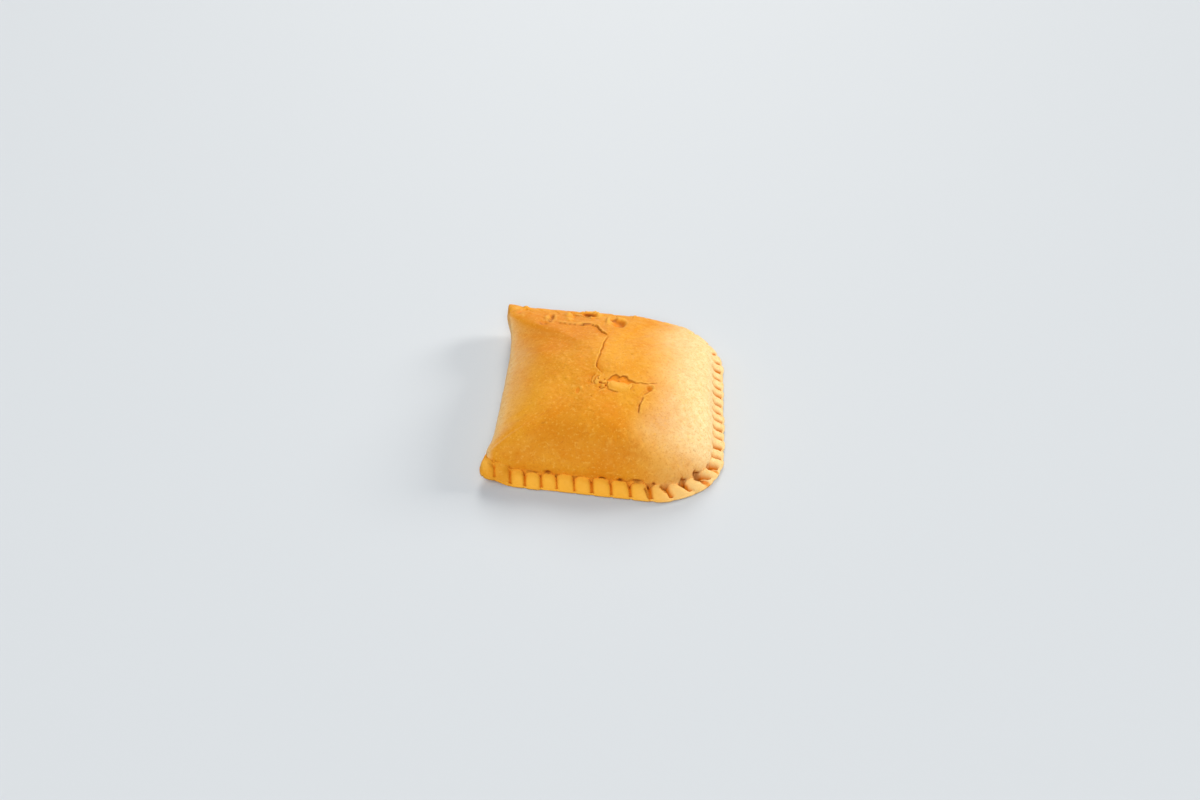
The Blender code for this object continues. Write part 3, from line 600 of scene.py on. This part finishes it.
tear = {
    "edge": ((-1.6, -12.2), (-0.3, -10.9), (0.8, -9.1), (2.5, -8.0), (4.2, -9.2), (5.3, -8.4),
             (7.0, -8.8), (7.8, -10.4), (9.2, -10.6), (12.6, -11.9), (9.2, -12.0), (7.7, -12.9),
             (6.5, -12.3), (3.4, -12.3), (1.4, -11.7), (0.2, -12.8)),
    "depth": 0.45,
    "wall": 0.4,
    "lipHeight": 0.16,
    "lipReach": 1.1,
    "flake": ((-0.6, -12.4), (1.4, -11.7), (3.4, -12.3), (6.5, -12.3), (7.7, -12.9), (9.2, -12.1),
              (9.4, -14.2), (8.6, -16.6), (5.2, -17.4), (1.3, -17.1), (-0.3, -16.4), (-0.9, -14.4)),
    "flakeHeight": 0.28,
    "flakeSlope": (-0.2, 2.2),
    "flakeGrain": (1.9, 37, 2, 0.5),
    "flakeLip": 0.75,
    "depthGrain": (1.1, 23, 2, 0.3),
    "upperSide": (-12.2, -10.6),  # along Y, where the crust over the tear begins
    "edgeShade": (0.75, 0.1, 0.22),  # darkness, place and width
    "floorShade": (0.3, 1.3, 29),
    "edgeHighlight": (0.8, 0.9),
}

relief = {  # how the marks above are drawn
    "spread": 0.8,  # how far a steep wall's grain is spread out, as a share of its drop
    "bend": (0.24, 2.2, 5, 15),  # how far noise bends the lines, its wavelength and its two seeds
    "crackTaper": (0.15, 0.85),  # where a crack has opened and where it starts to close
    "crackLeast": 0.25,
    "crackGrain": (3.0, 77, 1, 0.25),
    "crackLowSide": -0.6,  # how far its other side sinks, against the raised one
    "crackStepReach": 2.4,
    "crackShade": (0.9, 0.25),  # width against the crack's own, and the least darkness
    "crackHighlight": (2.2, 0.8),  # half widths away, and how strong the painted highlight on the raised side is
    "crackLowSideShade": (1.5, 0.7),  # reach and strength of the painted shade on the lower side
    "hollow": (0.45, 1.15),
    "hollowSlant": 0.25,  # how much deeper a pit is on its dark side
    "hollowRim": (0.08, 1.35, 0.3),  # height against the depth, place and width
    "hollowShade": (-0.5, 0.6),
    "hollowHighlight": (0.5, 1.4, 0.25),
    "bump": (0.2, 1.2),
    "bumpGrain": (1.4, 91, 1, 0.4),
    "bumpLip": (0.8, 0.4, 1.2),
}

scatter = {
    "seed": 31,
    "blisters": 170,
    "blisterRadius": (0.5, 1.3),
    "blisterHeight": (0.06, 0.2),
    "pinholes": 70,
    "pinholeRadius": (0.22, 0.42),
    "pinholeDepth": (0.2, 0.4),
    "roughness": ((9.0, 41, 1, 0.12), (3.6, 52, 1, 0.07), (1.6, 63, 1, 0.07), (0.9, 74, 1, 0.05)),
    "field": (60.0, 64.0),  # they're drawn this far from the middle along X and Y
    "shade": 0.35,
}


def nearLine(plan, points):
    # For each plan point: the distance to a line of straight runs, the side it lies on (1 left,
    # -1 right), and the share of the way along at its nearest point
    points = np.array(points)
    runs = np.diff(points, axis=0)
    lengths = np.linalg.norm(runs, axis=1)
    starts = np.concatenate([[0.0], np.cumsum(lengths)])
    away = plan[:, None, :] - points[:-1]
    share = np.clip((away * runs).sum(axis=-1) / lengths ** 2, 0, 1)
    distance = np.linalg.norm(away - share[..., None] * runs, axis=-1)
    nearest = distance.argmin(axis=1)
    pick = (np.arange(len(plan)), nearest)
    side = np.sign(runs[nearest, 0] * away[pick][:, 1] - runs[nearest, 1] * away[pick][:, 0])
    along = (starts[nearest] + share[pick] * lengths[nearest]) / starts[-1]
    return distance[pick], side, along


def insideLine(plan, points):
    # Counts how often a ray to the right crosses the closed line: odd is inside
    points = np.array(points)
    inside = np.zeros(len(plan), dtype=bool)
    for (x0, y0), (x1, y1) in zip(points, np.roll(points, -1, axis=0)):
        spans = (y0 > plan[:, 1]) != (y1 > plan[:, 1])
        rise = y1 - y0 if y1 != y0 else 1.0
        inside ^= spans & (plan[:, 0] < x0 + (plan[:, 1] - y0) * (x1 - x0) / rise)
    return inside


def signedToEdge(plan, points):
    # Distance to a closed line, positive inside it
    distance = nearLine(plan, tuple(points) + (points[0],))[0]
    return np.where(insideLine(plan, points), distance, -distance)


def bendLines(plan, amount, wavelength, *seeds):
    # Moves plan points by noise, so that lines drawn through them waver
    return plan + amount * np.column_stack([grain(plan, wavelength, seed, 2) for seed in seeds])


def topRelief(plan, height):
    # How far the crust stands out, and masks for its finish, painted shade and painted highlight among them.
    # Its grain follows the plan spread out by the drop from the summit, so that a steep wall isn't streaked
    reach = plan - form["summit"]
    drop = relief["spread"] * (form["height"] - height)
    spread = plan + reach * (drop / np.maximum(np.hypot(*reach.T), 1.0))[:, None]
    bent = bendLines(plan, *relief["bend"])
    out = np.zeros(len(plan))
    masks = {name: np.zeros(len(plan)) for name in ("painted_crevice_shade", "torn", "lip", "toast_and_shade")}

    # A crack is a narrow bell pressed in, with a step that falls off as exp(-distance / reach)
    opened, closing = relief["crackTaper"]
    least = relief["crackLeast"]
    shadeWidth, leastShade = relief["crackShade"]
    lipPlace, lipPale = relief["crackHighlight"]
    shadeReach, lowSideShade = relief["crackLowSideShade"]
    for halfWidth, depth, raised, points in cracks.values():
        distance, side, along = nearLine(bent, points)
        taper = ease(along, 0.0, opened) * (1 - ease(along, closing, 1.0))
        taper = (least + (1 - least) * taper) * (1 + grain(plan, *relief["crackGrain"]))
        high = side * np.sign(raised) > 0
        step = np.where(high, 1.0, relief["crackLowSide"]) * abs(raised)
        step = step * np.exp(-distance / relief["crackStepReach"])
        out += (step - depth * bell(distance, halfWidth)) * taper
        # Painted shade along the crack and on its lower side, and a painted highlight on its raised side
        masks["painted_crevice_shade"] += bell(distance, halfWidth * shadeWidth) * taper * min(1.0, leastShade + depth)
        besideCrack = bell(distance - lipPlace * halfWidth, halfWidth)
        masks["lip"] += np.where(high, besideCrack, 0.0) * taper * lipPale
        masks["toast_and_shade"] += np.where(high, 0.0, np.exp(-distance / shadeReach)) * taper * lowSideShade

    # A pit is a smooth hollow with a low rim, deeper towards its heading, where painted shade darkens it,
    # with a painted highlight on the rim's other side
    slant = relief["hollowSlant"]
    rimHeight, rimPlace, rimWidth = relief["hollowRim"]
    lipPale, lipPlace, lipWidth = relief["hollowHighlight"]
    for x, y, halfX, halfY, depth, dark, heading in pits.values():
        dx, dy = (bent[:, 0] - x) / halfX, (bent[:, 1] - y) / halfY
        away = np.hypot(dx, dy)
        hollow = 1 - ease(away, *relief["hollow"])
        lean = (dx * math.cos(math.radians(heading)) + dy * math.sin(math.radians(heading)))
        level = np.clip(lean, -1.0, 1.0)
        out -= depth * hollow * (1 - slant + slant * level)
        out += rimHeight * depth * bell(away - rimPlace, rimWidth)
        masks["painted_crevice_shade"] += dark * hollow * ease(lean, *relief["hollowShade"])
        masks["torn"] += hollow
        masks["lip"] += lipPale * bell(away - lipPlace, lipWidth) * (0.5 - 0.5 * level)

    lipPale, *lipRange = relief["bumpLip"]
    for x, y, halfX, halfY, raised in bumps.values():
        away = np.hypot((bent[:, 0] - x) / halfX, (bent[:, 1] - y) / halfY)
        rough = 1 + grain(plan, *relief["bumpGrain"])
        out += raised * (1 - ease(away, *relief["bump"])) * rough
        # Each bump is lighter on top, partly the colour of crumbs and partly a painted highlight
        masks["lip"] += lipPale * (1 - ease(away, *lipRange))

    # The tear is a floor let in by a steep wall under a lifted lip, the flake a low plateau
    inTear = signedToEdge(bent, tear["edge"])
    opening = ease(inTear, -tear["wall"] / 2, tear["wall"] / 2)
    out -= tear["depth"] * opening * (1 + grain(plan, *tear["depthGrain"]))
    upper = ease(plan[:, 1], *tear["upperSide"])
    outside = np.minimum(inTear, 0.0)
    out += tear["lipHeight"] * (1 - opening) * np.exp(outside / tear["lipReach"]) * upper
    masks["torn"] += opening
    # Painted shade under the upper edge and on the floor, and a painted highlight along the edge
    dark, shadePlace, shadeWidth = tear["edgeShade"]
    masks["painted_crevice_shade"] += dark * bell(inTear - shadePlace, shadeWidth) * upper
    dark, wavelength, seed = tear["floorShade"]
    masks["painted_crevice_shade"] += dark * opening * ease(grain(plan, wavelength, seed, 2), 0.3, 1.0)
    lipPale, lipReach = tear["edgeHighlight"]
    masks["lip"] += lipPale * (1 - opening) * np.exp(outside / lipReach)
    inFlake = signedToEdge(bent, tear["flake"]) + grain(plan, *tear["flakeGrain"])
    flake = ease(inFlake, *tear["flakeSlope"]) * (1 - opening)
    out += tear["flakeHeight"] * flake
    masks["lip"] += tear["flakeLip"] * flake

    for x, y, radius, amount in browningAndShade.values():
        masks["toast_and_shade"] += amount * bell(np.hypot(bent[:, 0] - x, bent[:, 1] - y), radius)

    # Blisters and pinholes are small bells, up and down; the blisters get a painted highlight and the
    # pinholes painted shade
    draw = np.random.default_rng(scatter["seed"])
    halfX, halfY = scatter["field"]
    for kind, sign in (("blister", 1.0), ("pinhole", -1.0)):
        size = "Height" if sign > 0 else "Depth"
        for place in range(scatter[kind + "s"]):
            x, y = draw.uniform(-halfX, halfX), draw.uniform(-halfY, halfY)
            radius, amount = draw.uniform(*scatter[kind + "Radius"]), draw.uniform(*scatter[kind + size])
            near = np.abs(spread[:, 0] - x) + np.abs(spread[:, 1] - y) < 4.0 * radius
            spot = bell(np.hypot(spread[near, 0] - x, spread[near, 1] - y), radius)
            out[near] += sign * amount * spot
            masks["lip" if sign > 0 else "painted_crevice_shade"][near] += scatter["shade"] * spot

    for pattern in scatter["roughness"]:
        out += grain(spread, *pattern)
    return out, {name: np.clip(mask, -1.0, 1.0) for name, mask in masks.items()}


def cutRelief(plan):
    # A bell across each cut that narrows outward and fades out at its ends, with painted shade as far as its
    # middle
    bent = bendLines(plan, *cutShape["bend"])
    out, dark, bare = np.zeros((3, len(plan)))
    width, narrowing = cutShape["narrowing"]
    for halfWidth, depth, darkness, points in cuts.values():
        distance, _, along = nearLine(bent, points)
        ends = ease(along, *cutShape["start"]) * (1 - ease(along, *cutShape["end"]))
        groove = bell(distance, halfWidth * (width - narrowing * along)) * ends
        out -= depth * groove
        inner = 1 - ease(along, *cutShape["darkEnd"])
        dark += darkness * ease(groove, *cutShape["darkRange"]) * inner
        bare += ease(groove, *cutShape["bareRange"])
    return out, np.clip(dark, 0.0, 1.0), np.clip(bare, 0, 1)


def seamRelief(col, upWall):
    # Gaps are bells along the crease times a band up the wall. On the sloping sides the grooves
    # climb the wall a little, and a fillet softens the crease
    out, dark = np.zeros(upWall.shape), np.zeros(upWall.shape)
    gapHeight, gapBand = seam["gapBand"]
    for x, y, halfWidth, depth in seamGaps.values():
        beside = bell(np.hypot(col["inner"][:, 0] - x, col["inner"][:, 1] - y), halfWidth)
        hole = beside * bell(upWall - gapHeight, gapBand)
        out -= depth * hole
        # Each gap is darkened with painted shade
        dark += ease(hole, *seam["gapShade"])
    phase = col["phase"] + 0.5 * col["leans"]
    groove = bell(np.abs(phase - np.rint(phase)) * col["pitches"], col["grooveHalfWidths"])
    unfolded = 1 - col["fold"]
    climb = groove * col["slopes"] * (col["grooveEnds"] > 1.0) * (upWall >= 0.0) * unfolded
    out -= seam["climbDepth"] * climb * (1 - ease(upWall, 0.0, crimps["runUp"]))
    fillet, filletReach = seam["fillet"]
    out += fillet * bell(upWall, filletReach) * col["slopes"] * (1 - groove) * unfolded
    return out, np.clip(dark, 0, 1)


paint = {  # where the finish, the painted highlight and the painted shade change over the crust
    "rimShares": (0.0, 0.03, 0.05, 0.3, 0.4, 0.6, 0.66, 1.0),  # of the rim's run
    "rimAmounts": (0.3, 0.2, 1.0, 1.0, 0.4, 0.35, 0.1, 0.1),  # of its own colour
    "rimFade": (1.0, 0.8, 0.5, 0.25, 0.1, 0.0),  # from the rim's last row up the wall
    "highlightRange": (10.0, 44.0),  # along X, where the right side gets a painted highlight
    "highlightTurn": 0.05,
    "highlightGrain": (17.0, 71, 2, 4.0),
    "highlightFront": (0.7, 32.0, 50.0),  # how much of the painted highlight the front wall loses, and where
    "foldSideSheen": (0.65, 0.3, 0.85),  # how strong the painted sheen on the fold's side is, and how far it has to face left
    "seamBreaks": (2.3, 151, -0.5, 0.9),  # wavelength, seed and range of the gaps in the seam's painted shade line
}


def buildPatty():
    col = roundColumns()
    under = undersideRows(col)
    rim, cleft = rimRows(col)
    dome = domeRows(col)
    rows = np.concatenate([under, rim, dome])
    count, rowCount = form["columns"], len(rows)
    gridPoints, gridFaces = topGrid(col, (rowCount - 1) * count)
    centre = np.array([[*form["summit"], 0.0]])
    points = np.concatenate([rows.reshape(-1, 3), gridPoints, centre])

    column = np.arange(count)
    beside = (column + 1) % count
    low = np.arange(rowCount - 1)[:, None] * count
    quads = np.stack([low + column, low + beside, low + count + beside, low + count + column], axis=-1)
    faces = quads.reshape(-1, 4).tolist() + gridFaces.tolist()
    faces += np.column_stack([beside, column, np.full(count, len(points) - 1)]).tolist()
    mesh = bpy.data.meshes.new("patty_crust")
    mesh.from_pydata(points.tolist(), [], faces)
    mesh.update()

    def toPoints(values, onGrid=0.0):
        # Values by row, by column or by both become one for each point
        values = np.broadcast_to(values, (rowCount, count)).ravel()
        return np.concatenate([values, np.full(len(gridPoints), onGrid), [0.0]])

    # Which rows carry what: the relief fades out round the rim's lip and low on the fold
    rimStart, domeStart = len(under), len(under) + len(rim)
    rowNumber = np.arange(rowCount)[:, None]
    inRim, inDome = rowNumber - rimStart, rowNumber - domeStart
    onFold = 0.25 * ease(rowNumber, 1, rimStart) + 0.75 * ease(inRim, 0, 9)
    onTop = toPoints(np.maximum(ease(inRim, 3, 11), onFold * col["fold"]), 1.0)
    rimFade = np.interp(inDome, np.arange(-1, 5), paint["rimFade"])
    onRim, belowCrease = toPoints(rimFade * (inRim >= 0)), toPoints(rimFade)
    folded = toPoints(col["fold"])
    grooveShade = np.zeros((rowCount, count))
    grooveShade[rimStart:domeStart] = cleft
    faraway = 99.0
    upWall = np.full((rowCount, count), faraway)
    upWall[rimStart + 1:domeStart] = (np.array(crimps["rowShares"])[:, None] - 1.0) * form["rimWidths"][3]
    upWall[domeStart:] = dome[..., 2] - col["creaseHeight"]
    gaps, gapDark = (toPoints(part) for part in seamRelief(col, upWall))
    upWall = toPoints(upWall, faraway)
    upWall[-1] = faraway
    seamed = toPoints(ease(col["runShare"], *seam["seamedFrom"]))
    plan = points[:, :2]
    onFront = ease(-plan[:, 1], *seam["frontRange"]) * (1 - folded) * seamed
    crumbs = bell(upWall, seam["crumbReach"]) * onFront * grain(plan, 0.9, 141, 2)

    # The relief moves each point along its normal
    normals = np.empty(len(points) * 3)
    mesh.vertex_normals.foreach_get("vector", normals)
    normals = normals.reshape(-1, 3)
    out, masks = topRelief(plan, points[:, 2])
    cut, cutDark, cutBare = cutRelief(plan)
    out = out + (gaps + cut + seam["crumbHeight"] * crumbs) / np.maximum(onTop, 0.3)
    side = grain(points[:, 1:], 3.4, 112, 2, 0.05) * (1 - np.abs(normals[:, 2]))
    points += normals * (out * onTop + side * (points[:, 2] > 1.0))[:, None]
    points[:, 2] = np.maximum(points[:, 2], 0.0)
    plan += form["shift"]
    mesh.vertices.foreach_set("co", (points * millimetre).ravel())

    # Masks from 0 to 1 that the finish reads, painted shade and painted highlight among them
    masks = {name: mask * onTop for name, mask in masks.items()}
    # Painted shade in the front crease, along the broken seam line, in the seam's gaps and in the cuts
    toast_and_shade, shadeReach = seam["toast_and_shade"]
    masks["toast_and_shade"] = masks["toast_and_shade"] + toast_and_shade * bell(upWall, shadeReach) * onFront
    wavelength, seed, *breaks = paint["seamBreaks"]
    broken = ease(grain(plan, wavelength, seed, 2), *breaks)
    dark, height, reach = seam["shade"]
    seamLine = dark * bell(upWall - height, reach) * onFront * broken
    for shade in (gapDark, cutDark, seamLine):
        masks["painted_crevice_shade"] = np.maximum(masks["painted_crevice_shade"], shade)
    masks["torn"] = np.maximum(masks["torn"], 0.8 * cutBare)
    # The crimp grooves get painted shade
    masks["cleft"] = toPoints(grooveShade)
    ownColour = np.interp(col["runShare"], paint["rimShares"], paint["rimAmounts"])
    masks["rim"] = onRim * (1 - folded) * toPoints(ownColour)
    # A painted highlight on the right side, weaker on the front wall
    x, y = plan.T
    right = x - paint["highlightTurn"] * y + grain(plan, *paint["highlightGrain"])
    lost, *frontRange = paint["highlightFront"]
    front = lost * ease(-y, *frontRange) * (1 - onRim)
    # A painted sheen on the fold's side, where it faces left
    amount, *facing = paint["foldSideSheen"]
    foldSideSheen = amount * ease(-normals[:, 0], *facing) * (1 - belowCrease * (1 - folded))
    masks["painted_highlight"] = np.maximum(ease(right, *paint["highlightRange"]) * (1 - front), foldSideSheen)
    for name, mask in masks.items():
        mesh.attributes.new(name, "FLOAT", "POINT").data.foreach_set("value", mask.astype(np.float32))
    mesh.shade_smooth()
    mesh.update()
    patty = bpy.data.objects.new("patty_crust", mesh)
    bpy.context.scene.collection.objects.link(patty)
    return patty


# Finish: shortcrust coloured with turmeric and glazed thinly with egg, baked until dry. To the eye
# it is matt and golden, with toasted blotches, fine specks and only a broad, weak highlight

# Painted shade darkens its cracks, holes, grooves, front wall and back, and a painted highlight lightens its
# right side, raised edges and the fold's side
crustFinish = {
    "golden": "#E49D27",
    # the colour of browned blotches and patches, and of the painted shade on the front wall, the back, the
    # front crease and the lower side of cracks
    "toasted_and_shaded": "#DB8613",
    "tab": "#FFBA3E",
    # the colour of the painted highlight on the right side and its tabs, and of the painted sheen on the
    # fold's side
    "painted_highlight": "#F8E2AC",
    # the yellow of crumbs, flecks and the flake, and of the painted highlight on crack edges, bumps, the lit
    # side of pits and the tear's edge
    "lip": "#F6BC52",
    "torn": "#E88C1C",
    # the colour of the painted shade in the crimp grooves
    "groove": "#D67C12",
    # the colour of the painted shade in cracks, pits, pinholes, cuts, seam gaps and along the seam
    "painted_crevice_shade": "#9A5412",
    "speckle": "#C4700E",
    "roughness": (0.48, 0.66),
    "ior": 1.46,  # that of fats and starch
    "specularLevel": 0.12,
    "bumpHeight": 0.14,
    "bumpStrength": 0.8,
    # Size in millimetres and detail. Specks and flecks are crumbs of flour and fat
    "patterns": {"blotch": (15.0, 2.0), "mottle": (2.8, 3.0), "speck": (0.75, 3.0), "fleck": (1.3, 2.0)},
    "patternRoughness": 0.6,
    # Shares made of a pattern: where they are 0, where they are full, and the full share
    "bands": {
        "blotches": ("blotch", 0.35, 0.7, 0.6),
        "mottling": ("mottle", 0.45, 0.75, 0.35),
        "highlight_strength": ("mottle", 1.5, 0.25, 1.0),
        "specks": ("speck", 0.52, 0.68, 0.4),
        "flecks": ("fleck", 0.56, 0.72, 0.45),
    },
    # how much of the painted highlight the tabs take on
    "tabHighlight": 0.35,
    # What covers what, the lowest first: share, strength or another share, and colour. The cleft layer is
    # painted shade, and the lip layer is partly a painted highlight
    "layers": (
        ("toasting_and_shade", 1.0, "toasted_and_shaded"), ("painted_highlight", "highlight_strength", "painted_highlight"), ("specks", 1.0, "speckle"),
        ("flecks", 1.0, "lip"), ("rim", 0.75, "tabs"), ("cleft", 1.4, "groove"), ("lip", 0.6, "lip"),
        ("torn", 1.0, "torn"), ("painted_crevice_shade", 1.0, "painted_crevice_shade")),
}


def bakedShortcrust():
    material, tree, shader = newMaterial("baked_turmeric_shortcrust")
    finish = crustFinish
    colours = {key: toLinear(value) for key, value in finish.items() if str(value).startswith("#")}
    place = addNode(tree, "ShaderNodeTexCoord").outputs["Object"]
    shares = {name: addNode(tree, "ShaderNodeAttribute", attribute_name=name).outputs["Fac"]
              for name in ("toast_and_shade", "painted_highlight", "rim", "cleft", "lip", "torn", "painted_crevice_shade")}
    patterns = {name: addNode(tree, "ShaderNodeTexNoise", {
        "Vector": place, "Scale": 1.0 / (size * millimetre), "Detail": detail,
        "Roughness": finish["patternRoughness"]}).outputs["Fac"]
        for name, (size, detail) in finish["patterns"].items()}
    for name, (pattern, low, high, top) in finish["bands"].items():
        shares[name] = addNode(tree, "ShaderNodeMapRange", {
            "Value": patterns[pattern], "From Min": low, "From Max": high, "To Max": top}).outputs["Result"]

    shares["toasting_and_shade"] = shares["toast_and_shade"]
    for name in ("blotches", "mottling"):
        shares["toasting_and_shade"] = addNode(tree, "ShaderNodeMath", {
            0: shares["toasting_and_shade"], 1: shares[name]}, operation="ADD").outputs[0]
    tabHighlight = addNode(tree, "ShaderNodeMath", {
        0: shares["painted_highlight"], 1: finish["tabHighlight"]}, operation="MULTIPLY")
    colours["tabs"] = addNode(tree, "ShaderNodeMix", {
        0: tabHighlight.outputs[0], 6: colours["tab"], 7: colours["painted_highlight"]}, data_type="RGBA").outputs[2]
    colour = colours["golden"]
    for share, strength, layer in finish["layers"]:
        covered = addNode(tree, "ShaderNodeMath", {
            0: shares[share], 1: shares.get(strength, strength)}, operation="MULTIPLY", use_clamp=True)
        colour = addNode(tree, "ShaderNodeMix", {
            0: covered.outputs[0], 6: colour, 7: colours[layer]}, data_type="RGBA").outputs[2]
    tree.links.new(colour, shader.inputs["Base Color"])

    smoothest, roughest = finish["roughness"]
    rough = addNode(tree, "ShaderNodeMapRange", {
        "Value": patterns["mottle"], "From Min": 0.3, "From Max": 0.7,
        "To Min": smoothest, "To Max": roughest})
    tree.links.new(rough.outputs["Result"], shader.inputs["Roughness"])
    height = addNode(tree, "ShaderNodeMix", {0: 0.5, 2: patterns["speck"], 3: patterns["mottle"]})
    bump = addNode(tree, "ShaderNodeBump", {
        "Height": height.outputs[0], "Strength": finish["bumpStrength"],
        "Distance": finish["bumpHeight"] * millimetre})
    tree.links.new(bump.outputs["Normal"], shader.inputs["Normal"])
    shader.inputs["IOR"].default_value = finish["ior"]
    shader.inputs["Specular IOR Level"].default_value = finish["specularLevel"]
    return material


print("stage: patty crust")
patty = buildPatty()
patty.data.materials.append(bakedShortcrust())
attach(patty, "root")
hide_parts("patty")
print("patty crust:", len(patty.data.vertices), "points,", len(patty.data.polygons), "faces")


# Studio: a plain pale floor, faint even surroundings and four soft lamps, of which the warm key
# stands low on the right and the weakest on the left

studio = {
    "floorColour": "#CBD2D9",
    "floorHalfSize": 6.0,
    "skyColour": "#FAFBFF",
    "skyStrength": 0.12,
    "lamps": {  # colour, strength, how wide it looks from the patty, heading and elevation
        "soft_key": ("#FFF8EE", 2.2, 18.0, 30.0, 20.0),
        "soft_back": ("#FFFAF2", 1.55, 24.0, 92.0, 30.0),
        "soft_front": ("#FFFDFA", 2.15, 36.0, -90.0, 45.0),
        "soft_left": ("#FAFBFF", 0.5, 40.0, 180.0, 45.0),
    },
    "cameraPlace": (0.02187, -0.54367, 0.47169),
    "cameraTurns": ((2.69, "Z"), (49.36, "X"), (1.21, "Z")),  # heading, tilt and roll
    "cameraLens": 49.95,
}


def buildFloor():
    half = studio["floorHalfSize"]
    steps = np.linspace(-half, half, 9)
    x, y = np.meshgrid(steps, steps, indexing="ij")
    points = np.column_stack([x.ravel(), y.ravel(), np.zeros(x.size)])
    index = np.arange(x.size).reshape(x.shape)
    faces = np.stack([index[:-1, :-1], index[1:, :-1], index[1:, 1:], index[:-1, 1:]], axis=-1)
    mesh = bpy.data.meshes.new("studio_floor")
    mesh.from_pydata(points.tolist(), [], faces.reshape(-1, 4).tolist())
    material, tree, shader = newMaterial("matt_pale_floor_paint")
    shader.inputs["Base Color"].default_value = toLinear(studio["floorColour"])
    shader.inputs["Roughness"].default_value = 0.6
    shader.inputs["Specular IOR Level"].default_value = 0.3
    mesh.materials.append(material)
    floor = bpy.data.objects.new("studio_floor", mesh)
    bpy.context.scene.collection.objects.link(floor)


def buildLights():
    world = bpy.data.worlds.new("pale_surroundings")
    world.use_nodes = True
    background = world.node_tree.nodes["Background"]
    background.inputs["Color"].default_value = toLinear(studio["skyColour"])
    background.inputs["Strength"].default_value = studio["skyStrength"]
    bpy.context.scene.world = world

    for name, (colour, strength, width, heading, elevation) in studio["lamps"].items():
        lamp = bpy.data.lights.new(name, "SUN")
        lamp.energy = strength
        lamp.angle = math.radians(width)
        lamp.color = toLinear(colour)[:3]
        lampObject = bpy.data.objects.new(name, lamp)
        turn = Matrix.Rotation(math.radians(heading + 90.0), 4, "Z")
        turn = turn @ Matrix.Rotation(math.radians(90.0 - elevation), 4, "X")
        lampObject.matrix_world = turn @ Matrix.Translation((0.0, 0.0, 1.0))
        bpy.context.scene.collection.objects.link(lampObject)


def buildCamera():
    lens = bpy.data.cameras.new("photo_view")
    lens.lens = studio["cameraLens"]
    lens.sensor_width = 36.0
    camera = bpy.data.objects.new("photo_view", lens)
    place = Matrix.Translation(studio["cameraPlace"])
    for degrees, axis in studio["cameraTurns"]:
        place = place @ Matrix.Rotation(math.radians(degrees), 4, axis)
    camera.matrix_world = place
    bpy.context.scene.collection.objects.link(camera)
    bpy.context.scene.camera = camera


print("stage: studio")
buildFloor()
buildLights()
buildCamera()
bpy.context.scene.view_settings.view_transform = "Standard"
